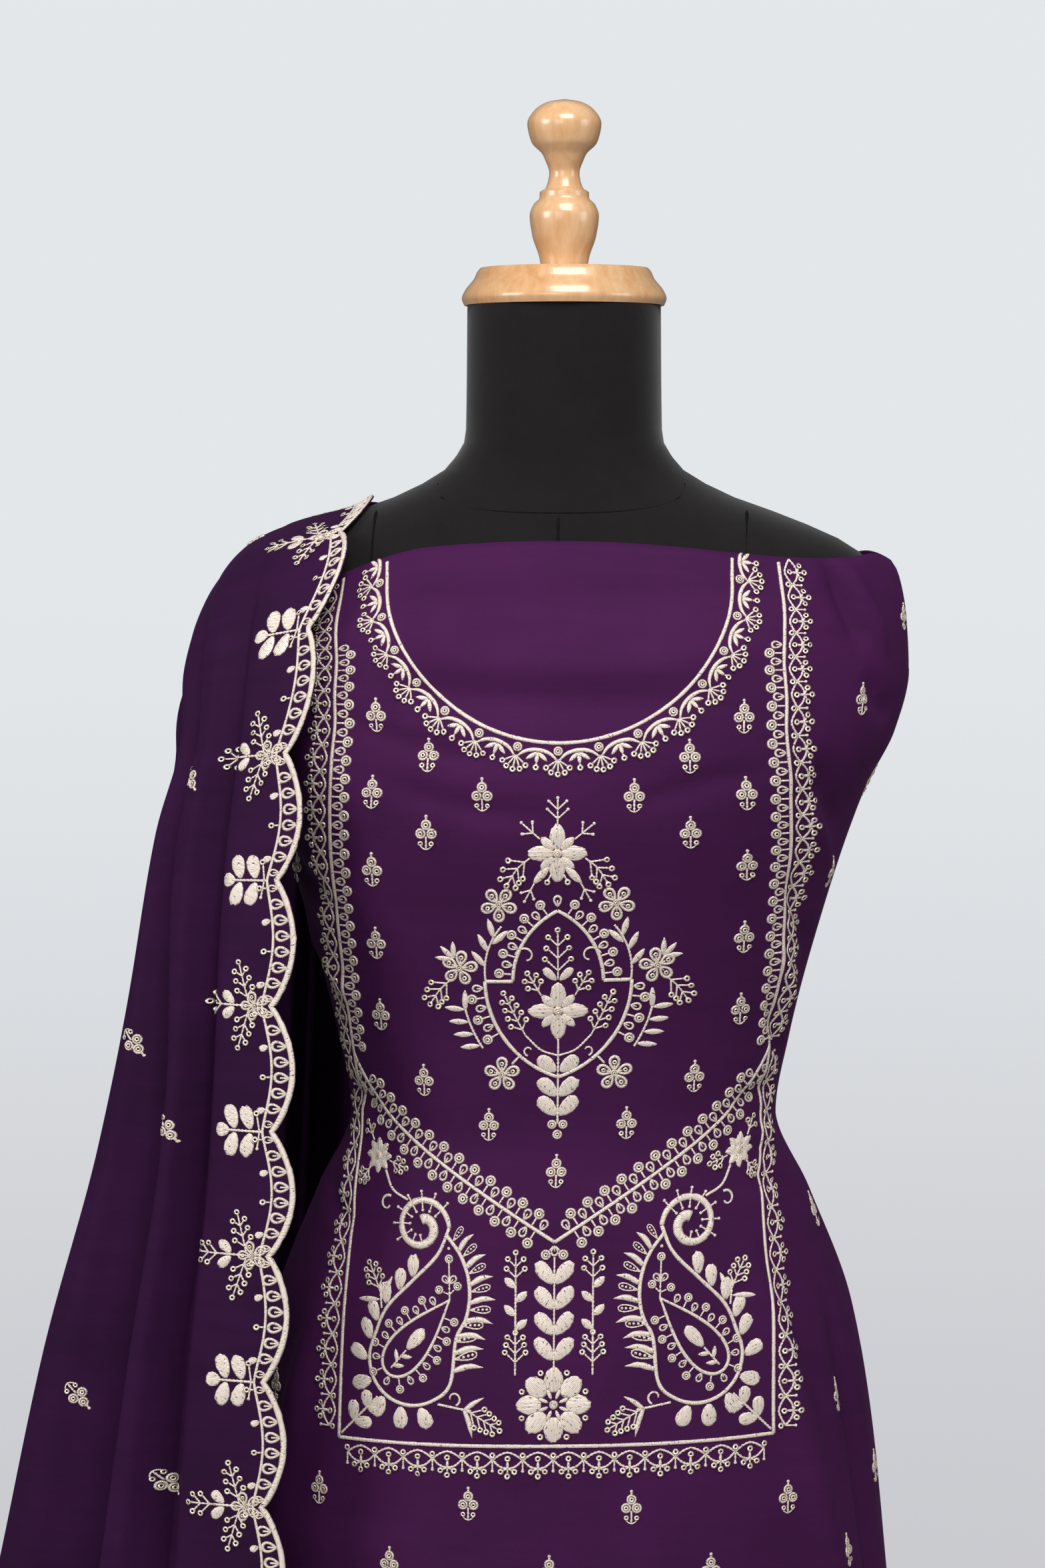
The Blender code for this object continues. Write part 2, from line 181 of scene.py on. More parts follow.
def layGrid(name, points, closed=False, flat=None):
    # A grid primitive whose points are laid on a surface, row by row, and whose UV map
    # holds the cloth's own flat measures in metres
    deselectAll()
    rows, columns = points.shape[:2]
    bpy.ops.mesh.primitive_grid_add(x_subdivisions=columns - 1, y_subdivisions=rows - 1, size=1)
    piece = bpy.context.object
    piece.name = piece.data.name = name
    mesh = piece.data
    mesh.vertices.foreach_set("co", points.astype(np.float32).ravel())
    if flat is not None:
        index = np.zeros(len(mesh.loops), np.int32)
        mesh.loops.foreach_get("vertex_index", index)
        mesh.uv_layers[0].data.foreach_set("uv", flat.reshape(-1, 2)[index].astype(np.float32).ravel())
    mesh.update()
    if closed:
        bpy.ops.object.mode_set(mode="EDIT")
        bpy.ops.mesh.select_all(action="SELECT")
        bpy.ops.mesh.remove_doubles(threshold=0.00002)
        bpy.ops.object.mode_set(mode="OBJECT")
    bpy.ops.object.shade_smooth()
    return piece


def applyModifier(piece, name, kind, **settings):
    deselectAll()
    bpy.context.view_layer.objects.active = piece
    piece.select_set(True)
    modifier = piece.modifiers.new(name, kind)
    for key, value in settings.items():
        setattr(modifier, key, value)
    bpy.ops.object.modifier_apply(modifier=modifier.name)


def giveWall(piece, thickness):
    applyModifier(piece, "wall", "SOLIDIFY", thickness=thickness, offset=0)


def finishPiece(piece, material, slot, *nodes):
    piece.data.materials.clear()
    piece.data.materials.append(material)
    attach(piece, "root")
    if nodes:
        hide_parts(*nodes)
    return piece


def flatMeasures(points):
    # Lengths over the cloth from its first column and its first row
    across = np.cumsum(np.linalg.norm(np.diff(points, axis=1), axis=2), axis=1)
    along = np.cumsum(np.linalg.norm(np.diff(points, axis=0), axis=2).mean(axis=1))
    rows, columns = points.shape[:2]
    flat = np.zeros((rows, columns, 2))
    flat[:, 1:, 0] = across
    flat[:, :, 0] -= flat[:, columns // 2, 0][:, None]
    flat[1:, :, 1] = along[:, None]
    return flat


def flatSize(flat):
    return float(np.ptp(flat[:, :, 0], axis=1).max()), float(flat[-1, 0, 1])


def flatArea(flat):
    # A cut's width changes along its length, so its area takes the rows one by one
    widths = np.ptp(flat[:, :, 0], axis=1)
    return float(np.sum((widths[1:] + widths[:-1]) / 2 * np.diff(flat[:, 0, 1])))



def startMaterial(name, colour, roughness, **sockets):
    material = bpy.data.materials.new(name)
    material.use_nodes = True
    shader = material.node_tree.nodes["Principled BSDF"]
    shader.inputs["Base Color"].default_value = toLinear(colour)
    shader.inputs["Roughness"].default_value = roughness
    for key, value in sockets.items():
        shader.inputs[key.replace("_", " ")].default_value = value
    return material, material.node_tree, shader


# The dupatta's two purples are darker copies of the kameez's purples: painted shade for the dimmer light on the
# dupatta
clothLook = {
    "purple": "#401642", "deepPurple": "#37133A", "dupattaPurpleShaded": "#301035",
    "dupattaDeepShaded": "#260D2A", "salwarPurple": "#3C153F",
    "sheen": 0.03, "crepeMm": 2.2, "patchMm": 70,
}


def makeClothMaterial(name, light, dark, roughness=0.72, threadMm=0.9, bumpMm=0.10):
    # Georgette is woven of hard twisted crepe yarn, which leaves a dry, pebbled face. The
    # real yarns lie 0.25 mm apart, too fine to show, so they are drawn threadMm apart.
    material, tree, shader = startMaterial(name, light, roughness, Sheen_Weight=clothLook["sheen"],
                                           Sheen_Roughness=0.45, Specular_IOR_Level=0.06)
    shader.inputs["Sheen Tint"].default_value = toLinear("#A86BB5")
    flat = addNode(tree, "ShaderNodeUVMap")
    place = addNode(tree, "ShaderNodeTexCoord")
    patches = addNode(tree, "ShaderNodeTexNoise", {"Vector": place.outputs["Object"],
                      "Scale": 1000 / clothLook["patchMm"], "Detail": 3.0, "Roughness": 0.6})
    slubs = addNode(tree, "ShaderNodeTexNoise", {"Vector": addNode(tree, "ShaderNodeMapping",
                    {"Vector": flat.outputs[0], "Scale": (14, 120, 1)}).outputs[0],
                    "Scale": 1.0, "Detail": 3.0})
    tone = addNode(tree, "ShaderNodeMath", {0: slubs.outputs[0], 1: 0.4, 2: patches.outputs[0]},
                   operation="MULTIPLY_ADD")
    tone = addNode(tree, "ShaderNodeMapRange", {"Value": tone.outputs[0], "From Min": 0.45,
                   "From Max": 0.95})
    colour = addNode(tree, "ShaderNodeMix", {"Factor": tone.outputs[0], "A": toLinear(dark),
                     "B": toLinear(light)}, data_type="RGBA")
    tree.links.new(colour.outputs["Result"], shader.inputs["Base Color"])
    scale = 2 * pi / (threadMm / 1000) / 20
    warp = addNode(tree, "ShaderNodeTexWave", {"Vector": flat.outputs[0], "Scale": scale,
                   "Distortion": 1.2, "Detail": 1.0}, bands_direction="X")
    weft = addNode(tree, "ShaderNodeTexWave", {"Vector": flat.outputs[0], "Scale": scale,
                   "Distortion": 1.2, "Detail": 1.0}, bands_direction="Y")
    crepe = addNode(tree, "ShaderNodeTexNoise", {"Vector": place.outputs["Object"],
                    "Scale": 1000 / clothLook["crepeMm"], "Detail": 2.0})
    weave = addNode(tree, "ShaderNodeMath", {0: warp.outputs[1], 1: weft.outputs[1]},
                    operation="MULTIPLY")
    height = addNode(tree, "ShaderNodeMath", {0: weave.outputs[0], 1: crepe.outputs[0]},
                     operation="ADD")
    bump = addNode(tree, "ShaderNodeBump", {"Height": height.outputs[0], "Strength": 0.35,
                   "Distance": bumpMm / 1000})
    tree.links.new(bump.outputs[0], shader.inputs["Normal"])
    return material


def makeJerseyMaterial():
    # Black cotton jersey pulled tight over a papier-mache body: matt, with fine ribs
    material, tree, shader = startMaterial("cotton_jersey", "#1A1919", 0.9, Sheen_Weight=0.22,
                                           Sheen_Roughness=0.4, Specular_IOR_Level=0.08)
    place = addNode(tree, "ShaderNodeTexCoord")
    lint = addNode(tree, "ShaderNodeTexNoise", {"Vector": place.outputs["Object"], "Scale": 35.0,
                   "Detail": 6.0, "Roughness": 0.7})
    colour = addNode(tree, "ShaderNodeMix", {"Factor": lint.outputs[0], "A": toLinear("#131212"),
                     "B": toLinear("#1D1A1A")}, data_type="RGBA")
    tree.links.new(colour.outputs["Result"], shader.inputs["Base Color"])
    knit = addNode(tree, "ShaderNodeTexNoise", {"Vector": addNode(tree, "ShaderNodeMapping",
                   {"Vector": place.outputs["Object"], "Scale": (1, 1, 0.25)}).outputs[0],
                   "Scale": 1400.0, "Detail": 2.0})
    bump = addNode(tree, "ShaderNodeBump", {"Height": knit.outputs[0], "Strength": 0.4,
                   "Distance": 0.0002})
    tree.links.new(bump.outputs[0], shader.inputs["Normal"])
    return material


def makeWoodMaterial():
    # Pale turned wood, such as rubberwood, under clear varnish: brown streaks along the
    # grain, which runs up the turning, and a soft gloss
    material, tree, shader = startMaterial("varnished_rubberwood", "#D9A672", 0.32,
                                           Coat_Weight=0.6, Coat_Roughness=0.12, IOR=1.5)
    place = addNode(tree, "ShaderNodeTexCoord")
    stretched = addNode(tree, "ShaderNodeMapping", {"Vector": place.outputs["Object"],
                        "Scale": (1, 1, 0.10)})
    streaks = addNode(tree, "ShaderNodeTexNoise", {"Vector": stretched.outputs[0], "Scale": 190.0,
                      "Detail": 5.0, "Roughness": 0.65, "Distortion": 0.4})
    broad = addNode(tree, "ShaderNodeTexNoise", {"Vector": stretched.outputs[0], "Scale": 32.0,
                    "Detail": 3.0, "Distortion": 0.8})
    tone = addNode(tree, "ShaderNodeMath", {0: streaks.outputs[0], 1: broad.outputs[0]},
                   operation="ADD")
    tone = addNode(tree, "ShaderNodeMapRange", {"Value": tone.outputs[0], "From Min": 0.65,
                   "From Max": 1.35})
    colour = addNode(tree, "ShaderNodeMix", {"Factor": tone.outputs[0], "A": toLinear("#B8824F"),
                     "B": toLinear("#D2AD84")}, data_type="RGBA")
    tree.links.new(colour.outputs["Result"], shader.inputs["Base Color"])
    return material


def makeZariMaterial():
    # Metallic zari and matt silk twisted together: pale champagne strands beside brown ones,
    # and the cloth dark between them. The colour is also painted darker in the grooves between
    # the drawn threads and lighter on their crowns: painted shade and painted highlight. The
    # strands are drawn 0.8 mm wide, since the real 0.3 mm would not show.
    material, tree, shader = startMaterial("zari_silk_thread", "#E9DACC", 0.42, Metallic=0.22,
                                           Specular_IOR_Level=0.5, Sheen_Weight=0.1)
    threads = addNode(tree, "ShaderNodeUVMap")
    place = addNode(tree, "ShaderNodeTexCoord")
    ridgeBumpAndGrooveShade = addNode(tree, "ShaderNodeTexWave", {"Vector": threads.outputs[0],
                     "Scale": 2 * pi / 0.0008 / 20, "Distortion": 2.5, "Detail": 1.5},
                     bands_direction="X")
    strands = addNode(tree, "ShaderNodeTexNoise", {"Vector": addNode(tree, "ShaderNodeMapping",
                      {"Vector": threads.outputs[0], "Scale": (1050, 190, 1)}).outputs[0],
                      "Scale": 1.0, "Detail": 2.5, "Roughness": 0.6})
    flecks = addNode(tree, "ShaderNodeTexNoise", {"Vector": place.outputs["Object"], "Scale": 700.0,
                     "Detail": 2.0})
    # The ridges' wave darkens the colour in the grooves and lightens it on the crowns: painted shade and painted
    # highlight, beside the strands' own brown and champagne
    tone = addNode(tree, "ShaderNodeMath", {0: strands.outputs[0], 1: ridgeBumpAndGrooveShade.outputs[1]},
                   operation="ADD")
    tone = addNode(tree, "ShaderNodeMapRange", {"Value": tone.outputs[0], "From Min": 0.45,
                   "From Max": 1.3})
    colour = addNode(tree, "ShaderNodeMix", {"Factor": tone.outputs[0], "A": toLinear("#AC917C"),
                     "B": toLinear("#FFF4E8")}, data_type="RGBA")
    gaps = addNode(tree, "ShaderNodeMath", {0: strands.outputs[0], 1: flecks.outputs[0]},
                   operation="ADD")
    gaps = addNode(tree, "ShaderNodeMapRange", {"Value": gaps.outputs[0], "From Min": 0.74,
                   "From Max": 0.86})
    colour = addNode(tree, "ShaderNodeMix", {"Factor": gaps.outputs[0], "A": toLinear("#6A5058"),
                     "B": colour.outputs["Result"]}, data_type="RGBA")
    tree.links.new(colour.outputs["Result"], shader.inputs["Base Color"])
    bump = addNode(tree, "ShaderNodeBump", {"Height": ridgeBumpAndGrooveShade.outputs[1], "Strength": 0.7,
                   "Distance": 0.0002})
    tree.links.new(bump.outputs[0], shader.inputs["Normal"])
    return material


def makeFoilMaterial():
    # Sequins punched from metallised film: a mirror-like pale gold with faint scuffs
    material, tree, shader = startMaterial("gold_foil_film", "#FFEFD8", 0.25, Metallic=0.7)
    place = addNode(tree, "ShaderNodeTexCoord")
    scuffs = addNode(tree, "ShaderNodeTexNoise", {"Vector": place.outputs["Object"],
                     "Scale": 1200.0, "Detail": 3.0})
    dull = addNode(tree, "ShaderNodeMapRange", {"Value": scuffs.outputs[0], "To Min": 0.2,
                   "To Max": 0.45})
    tree.links.new(dull.outputs[0], shader.inputs["Roughness"])
    return material


jersey = makeJerseyMaterial()
# The seam material is matt and a little darker than the jersey: painted shade for the dark line in each seam's groove
jerseySeamShaded = startMaterial("jersey_seam_painted_shade", "#131212", 0.95, Specular_IOR_Level=0.05)[0]
wood = makeWoodMaterial()
georgette = makeClothMaterial("crepe_georgette", clothLook["purple"], clothLook["deepPurple"])
# The dupatta's georgette is a darker copy of the kameez's georgette: painted shade
dupattaShadedGeorgette = makeClothMaterial("sheer_georgette_painted_shade", clothLook["dupattaPurpleShaded"],
                                   clothLook["dupattaDeepShaded"])
salwarCloth = makeClothMaterial("santoon_cloth", clothLook["salwarPurple"], clothLook["deepPurple"],
                                roughness=0.6)
zari = makeZariMaterial()
foilGold = makeFoilMaterial()
print("materials made")


form = {"bottom": 0.745, "neckTop": 1.501, "sides": 112, "rowStep": 0.008}
formSections = [
    Section(0.745, 0.174, 0.100, 0.112),
    Section(0.800, 0.178, 0.103, 0.116),
    Section(0.840, 0.173, 0.103, 0.114),
    Section(0.900, 0.160, 0.099, 0.104),
    Section(0.970, 0.137, 0.091, 0.088),
    Section(1.018, 0.1195, 0.083, 0.077),
    Section(1.065, 0.127, 0.087, 0.077),
    Section(1.140, 0.147, 0.103, 0.082),
    Section(1.215, 0.171, 0.118, 0.087),
    Section(1.250, 0.189, 0.114, 0.090),
    Section(1.300, 0.198, 0.100, 0.092),
    Section(1.326, 0.195, 0.091, 0.092),
    Section(1.342, 0.188, 0.083, 0.089),
    Section(1.357, 0.174, 0.075, 0.083),
    Section(1.374, 0.139, 0.067, 0.074),
    Section(1.390, 0.096, 0.061, 0.066),
    Section(1.406, 0.069, 0.058, 0.060),
    Section(1.425, 0.0585, 0.057, 0.057),
    Section(1.501, 0.0575, 0.057, 0.057),
]


def makeForm():
    # A ring of edges, extruded up one level at a time and then fitted to the body's sections
    top = form["neckTop"] - seamGap
    levels = [form["bottom"], form["bottom"] + 0.002, form["bottom"] + 0.006, form["bottom"] + 0.012]
    spreads = [-0.016, -0.010, -0.004, -0.001]
    count = round((top - 0.765) / form["rowStep"])
    levels += list(np.linspace(0.765, top, count))
    spreads += [0.0] * count
    deselectAll()
    bpy.ops.mesh.primitive_circle_add(vertices=form["sides"], radius=1, fill_type="NGON",
                                      location=(0, 0, 0))
    piece = bpy.context.object
    piece.name = piece.data.name = "form_body"
    bpy.ops.object.mode_set(mode="EDIT")
    for _ in range(1, len(levels)):
        bpy.ops.mesh.extrude_region_move(TRANSFORM_OT_translate={"value": (0, 0, 1)})
    bpy.ops.object.mode_set(mode="OBJECT")
    mesh = piece.data
    places = np.zeros(len(mesh.vertices) * 3, np.float32)
    mesh.vertices.foreach_get("co", places)
    places = places.reshape(-1, 3)
    ring = np.round(places[:, 2]).astype(int)
    angle = np.arctan2(-places[:, 1], places[:, 0])
    fitted = bodyPoint(formSections, angle, np.array(levels)[ring], np.array(spreads)[ring])
    mesh.vertices.foreach_set("co", fitted.astype(np.float32).ravel())
    mesh.update()
    bpy.ops.object.shade_smooth_by_angle(angle=radians(60))
    return finishPiece(piece, jersey, "form_jersey", "form_torso")


seams = {"wide": 1.0, "high": 0.2, "neckSides": 1.412, "neckFront": 1.379, "princess": 0.109}


def formFace(across, level, off):
    # Across is a turn from the front middle towards +X, in tenths of a degree
    angle = np.radians(90 - across / 10)
    return bodyPoint(formSections, angle, level / 1000, (off - 0.05) / 1000)


makeForm()
print("form made")


turned = {"sides": 72, "stepMm": 1.6}
rim = form["neckTop"] + 0.022
capProfile = [
    (0.0500, rim), (0.0517, rim - 0.002), (0.0535, rim - 0.006), (0.0590, rim - 0.013),
    (0.0610, rim - 0.018), (0.0595, form["neckTop"]),
]
finialProfile = [
    (0.0020, 1.6220), (0.0100, 1.6205), (0.0175, 1.6160), (0.0220, 1.6080), (0.0195, 1.5970),
    (0.0130, 1.5900), (0.0116, 1.5870), (0.0090, 1.5790), (0.0112, 1.5700), (0.0147, 1.5675),
    (0.0147, 1.5645), (0.0180, 1.5610), (0.0206, 1.5540), (0.0190, 1.5420), (0.0150, 1.5300),
    (0.0137, rim + seamGap),
]
baseProfile = [
    (0.0600, 0.0280), (0.1750, 0.0240), (0.1970, 0.0190), (0.2050, 0.0100), (0.2030, 0.0),
]
poleProfile = [(0.016, form["bottom"] - seamGap), (0.016, 0.0280 + seamGap)]


def makeTurned(name, profile, node):
    # A disc is drawn out down the lathe's axis: each step is extruded and scaled
    lengths = np.cumsum([0] + [hypot(b[0] - a[0], b[1] - a[1]) for a, b in zip(profile, profile[1:])])
    count = max(2, round(lengths[-1] / (turned["stepMm"] / 1000)))
    if len(profile) > 2:
        rows = [(s, *p) for s, p in zip(lengths, profile)]
        path = readRows(rows, np.linspace(0, lengths[-1], min(count, 90)))[:, 1:]
    else:
        path = np.array(profile)
    deselectAll()
    bpy.ops.mesh.primitive_circle_add(vertices=turned["sides"], radius=path[0][0],
                                      fill_type="NGON", location=(0, 0, path[0][1]))
    piece = bpy.context.object
    piece.name = piece.data.name = name
    bpy.ops.object.mode_set(mode="EDIT")
    bpy.ops.mesh.select_all(action="SELECT")
    for (r0, z0), (r1, z1) in zip(path, path[1:]):
        bpy.ops.mesh.extrude_region_move(TRANSFORM_OT_translate={"value": (0, 0, z1 - z0)})
        bpy.ops.transform.resize(value=(r1 / r0, r1 / r0, 1), center_override=(0, 0, z1))
    bpy.ops.mesh.select_all(action="SELECT")
    bpy.ops.mesh.normals_make_consistent(inside=False)
    bpy.ops.object.mode_set(mode="OBJECT")
    bpy.ops.object.transform_apply(location=True, rotation=True, scale=True)
    bpy.ops.object.shade_smooth_by_angle(angle=radians(40))
    return finishPiece(piece, wood, "wood", node)


makeTurned("cap_wood", capProfile, "neck_cap")
makeTurned("finial_wood", finialProfile, "finial")
makeTurned("base_wood", baseProfile, "stand_base")
makeTurned("pole_wood", poleProfile, "stand_pole")
print("turned wood made")


kameez = {
    "hem": 0.350, "top": 1.363, "slitTop": 0.680, "slitPart": radians(7), "sideInset": 0.0012,
    "topEdgeDrop": 0.006, "topCornerDrop": 0.007, "shoulderDrop": 0.026, "wall": 0.0012,
    "rowStep": 0.005, "frontColumns": 124, "backColumns": 100, "creaseRadius": 0.165,
    "cornerRound": 0.007,
}
kameezSections = [
    Section(0.350, 0.233, 0.147, 0.154),
    Section(0.560, 0.213, 0.135, 0.144),
    Section(0.720, 0.1985, 0.124, 0.135),
    Section(0.820, 0.189, 0.116, 0.126),
    Section(0.900, 0.175, 0.108, 0.112),
    Section(0.970, 0.1485, 0.099, 0.095),
    Section(1.018, 0.128, 0.092, 0.085),
    Section(1.065, 0.1358, 0.097, 0.085),
    Section(1.140, 0.155, 0.113, 0.090),
    Section(1.215, 0.180, 0.128, 0.096),
    Section(1.250, 0.1975, 0.124, 0.099),
    Section(1.285, 0.2055, 0.116, 0.100),
    Section(1.315, 0.204, 0.105, 0.100),
    Section(1.342, 0.199, 0.092, 0.097),
    Section(1.363, 0.184, 0.083, 0.092),
]
kameezFlutes = [
    Flute(12, 13, 0.012, 0.80),
    Flute(40, 11, 0.009, 0.72),
    Flute(70, 14, 0.007, 0.60),
    Flute(112, 15, 0.008, 0.62),
    Flute(146, 12, 0.010, 0.74),
    Flute(172, 11, 0.010, 0.80),
    Flute(-22, 13, 0.011, 0.80),
    Flute(-58, 13, 0.009, 0.72),
    Flute(-92, 14, 0.010, 0.70),
    Flute(-126, 13, 0.009, 0.74),
    Flute(-158, 12, 0.011, 0.80),
]
# Across is the angle from the front middle towards +X, times the crease radius
frontCreases = [
    Crease((-0.110, 1.330), (0.110, 1.334), 0.006, 0.012, -0.0022),
    Crease((-0.090, 1.306), (0.100, 1.300), 0.008, 0.010, 0.0016),
    Crease((-0.080, 1.282), (0.070, 1.274), 0.006, 0.009, -0.0016),
    Crease((-0.100, 1.262), (-0.010, 1.238), 0.004, 0.006, -0.0014),
    Crease((-0.085, 1.226), (0.010, 1.208), 0.004, 0.007, -0.0016),
    Crease((0.030, 1.214), (0.115, 1.232), -0.004, 0.007, -0.0013),
    Crease((0.145, 1.352), (0.168, 1.300), 0.003, 0.007, -0.0030),
    Crease((0.160, 1.350), (0.196, 1.296), 0.002, 0.006, 0.0022),
    Crease((0.165, 1.285), (0.215, 1.262), 0.004, 0.008, -0.0022),
    Crease((0.140, 1.240), (0.215, 1.196), 0.006, 0.009, -0.0026),
    Crease((0.150, 1.214), (0.225, 1.160), 0.006, 0.008, 0.0022),
    Crease((0.150, 1.175), (0.228, 1.120), 0.006, 0.009, -0.0024),
    Crease((0.155, 1.130), (0.230, 1.085), 0.004, 0.007, 0.0018),
    Crease((0.165, 1.095), (0.232, 1.052), 0.004, 0.007, -0.0020),
    Crease((0.140, 1.030), (0.225, 1.040), -0.004, 0.006, -0.0020),
    Crease((0.150, 1.012), (0.230, 1.006), -0.003, 0.006, 0.0016),
    Crease((0.150, 0.990), (0.225, 0.965), -0.004, 0.007, -0.0018),
    Crease((-0.230, 1.190), (-0.150, 1.150), 0.005, 0.009, -0.0024),
    Crease((-0.228, 1.140), (-0.150, 1.090), 0.005, 0.008, 0.0018),
    Crease((-0.225, 1.035), (-0.145, 1.024), -0.004, 0.007, -0.0020),
    Crease((-0.220, 0.985), (-0.140, 0.960), 0.004, 0.007, -0.0016),
    Crease((0.120, 0.960), (0.175, 0.700), 0.006, 0.012, 0.0040),
    Crease((0.190, 0.930), (0.225, 0.640), 0.004, 0.012, -0.0036),
    Crease((-0.150, 0.940), (-0.190, 0.650), -0.006, 0.012, 0.0040),
    Crease((0.040, 0.800), (0.060, 0.460), 0.006, 0.016, 0.0045),
    Crease((-0.060, 0.780), (-0.085, 0.430), 0.006, 0.015, 0.0040),
]
backCreases = [
    Crease((-0.120, 1.325), (0.115, 1.332), 0.008, 0.012, -0.0022),
    Crease((-0.100, 1.292), (0.090, 1.285), -0.007, 0.011, 0.0018),
    Crease((-0.200, 1.180), (-0.120, 1.120), 0.006, 0.010, -0.0024),
    Crease((0.120, 1.130), (0.205, 1.175), 0.006, 0.009, -0.0022),
    Crease((-0.120, 1.045), (0.000, 1.030), 0.004, 0.008, -0.0022),
    Crease((0.010, 1.022), (0.130, 1.040), 0.004, 0.008, 0.0018),
    Crease((-0.100, 1.006), (0.060, 1.000), -0.005, 0.007, 0.0016),
    Crease((0.030, 0.985), (0.140, 0.970), 0.004, 0.008, -0.0018),
    Crease((-0.150, 0.900), (-0.190, 0.620), 0.006, 0.014, 0.0042),
    Crease((-0.040, 0.880), (-0.055, 0.560), 0.006, 0.016, -0.0036),
    Crease((0.075, 0.900), (0.100, 0.520), 0.006, 0.015, 0.0044),
    Crease((0.170, 0.860), (0.200, 0.600), 0.006, 0.013, -0.0034),
]


def kameezPoint(angle, level, creases, middle):
    # The top edge sinks a little towards the sides, and lower under the dupatta
    drop = kameez["topEdgeDrop"] * np.cos(angle) ** 2
    drop = drop + kameez["topCornerDrop"] * np.sin(2 * angle) ** 2
    drop = drop + kameez["shoulderDrop"] * fade(-np.cos(angle), 0.35, 0.90)
    drop = drop + kameez["cornerRound"] * fade(np.abs(np.sin(angle)), 0.36, 0.0)
    height = level - drop * fade(level, 1.270, kameez["top"])
    swell = fluteSwell(kameezFlutes, angle, level, kameez["hem"])
    swell = swell + creaseSwell(creases, (middle - angle) * kameez["creaseRadius"], height)
    return bodyPoint(kameezSections, angle, height, swell)


def kameezGrid(start, end, columns, creases):
    # Start and end are the angles of the panel's side edges, which part at the slits
    count = round((kameez["top"] - kameez["hem"]) / kameez["rowStep"]) + 1
    levels = np.linspace(kameez["hem"], kameez["top"], count)[:, None]
    inset = kameez["sideInset"] + kameez["slitPart"] * fade(levels, kameez["slitTop"], kameez["hem"])
    inset = inset * np.sign(end - start)
    share = np.linspace(0, 1, columns + 1)[None, :]
    angle = start + inset + (end - start - 2 * inset) * share
    return kameezPoint(angle, levels, creases, (start + end) / 2)


frontPoints = kameezGrid(pi, 0, kameez["frontColumns"], frontCreases)
backPoints = kameezGrid(0, -pi, kameez["backColumns"], backCreases)
for name, points in (("front", frontPoints), ("back", backPoints)):
    flat = flatMeasures(points)
    panel = layGrid("kameez_cloth_" + name, points, flat=flat)
    giveWall(panel, kameez["wall"])
    finishPiece(panel, georgette, "georgette", "kameez_" + name)
    print("kameez", name, "cut", [round(v, 3) for v in (*flatSize(flat), flatArea(flat))])


salwar = {"waist": 1.000, "bottom": 0.115, "cuffBottom": 0.075, "rowStep": 0.007, "columns": 96,
          "wall": 0.0012}
Leg = namedtuple("Leg", "height outer inner front back wrap")
salwarSections = [
    Leg(0.115, 0.122, 0.042, 0.052, 0.056, 179.9),
    Leg(0.180, 0.135, 0.038, 0.062, 0.068, 179.9),
    Leg(0.300, 0.156, 0.032, 0.078, 0.086, 179.9),
    Leg(0.450, 0.176, 0.027, 0.091, 0.101, 179.9),
    Leg(0.590, 0.186, 0.023, 0.099, 0.111, 179.9),
    Leg(0.640, 0.187, 0.0205, 0.102, 0.115, 150),
    Leg(0.685, 0.186, 0.008, 0.105, 0.118, 112),
    Leg(0.720, 0.185, 0.00015, 0.106, 0.119, 90),
    Leg(0.800, 0.1815, 0.00015, 0.1065, 0.1195, 90),
    Leg(0.840, 0.1765, 0.00015, 0.1065, 0.1175, 90),
    Leg(0.900, 0.1635, 0.00015, 0.1025, 0.1075, 90),
    Leg(0.970, 0.1405, 0.00015, 0.0945, 0.0915, 90),
    Leg(1.000, 0.1285, 0.00015, 0.0885, 0.0835, 90),
]
salwarFolds = [
    Flute(-60, 16, 0.006, 0.66),
    Flute(-15, 18, 0.008, 0.70),
    Flute(28, 15, 0.006, 0.62),
    Flute(75, 18, 0.007, 0.68),
    Flute(120, 16, 0.005, 0.56),
    Flute(-115, 17, 0.006, 0.58),
]
salwarCreases = [
    Crease((-0.06, 0.190), (0.04, 0.176), 0.006, 0.008, 0.0030),
    Crease((-0.02, 0.160), (0.08, 0.168), 0.005, 0.007, -0.0026),
    Crease((-0.10, 0.215), (-0.01, 0.226), 0.006, 0.009, -0.0028),
    Crease((0.03, 0.240), (0.12, 0.222), 0.006, 0.009, 0.0028),
    Crease((-0.12, 0.300), (-0.05, 0.360), 0.006, 0.010, 0.0026),
    Crease((0.05, 0.330), (0.11, 0.400), 0.006, 0.011, -0.0026),
    Crease((-0.05, 0.460), (0.03, 0.500), 0.006, 0.012, 0.0024),
]


def salwarPoint(side, turn, level):
    rows = readRows(salwarSections, level)
    outer, inner, front, back, wrap = (rows[..., i] for i in range(1, 6))
    angle = np.radians(wrap) * turn
    end = signedPower(np.cos(np.radians(wrap)), sectionPower)
    across, ahead = signedPower(np.cos(angle), sectionPower), signedPower(np.sin(angle), sectionPower)
    radius = (outer - inner) / (1 - end)
    swell = fluteSwell(salwarFolds, angle, level, salwar["bottom"])
    swell = (swell + creaseSwell(salwarCreases, turn * 0.14, level)) * (1 - turn ** 4)
    depth = np.where(ahead >= 0, front, back) + swell
    return np.stack([side * (outer - radius + (radius + swell) * across), -depth * ahead,
                     np.broadcast_to(level, across.shape)], axis=-1)


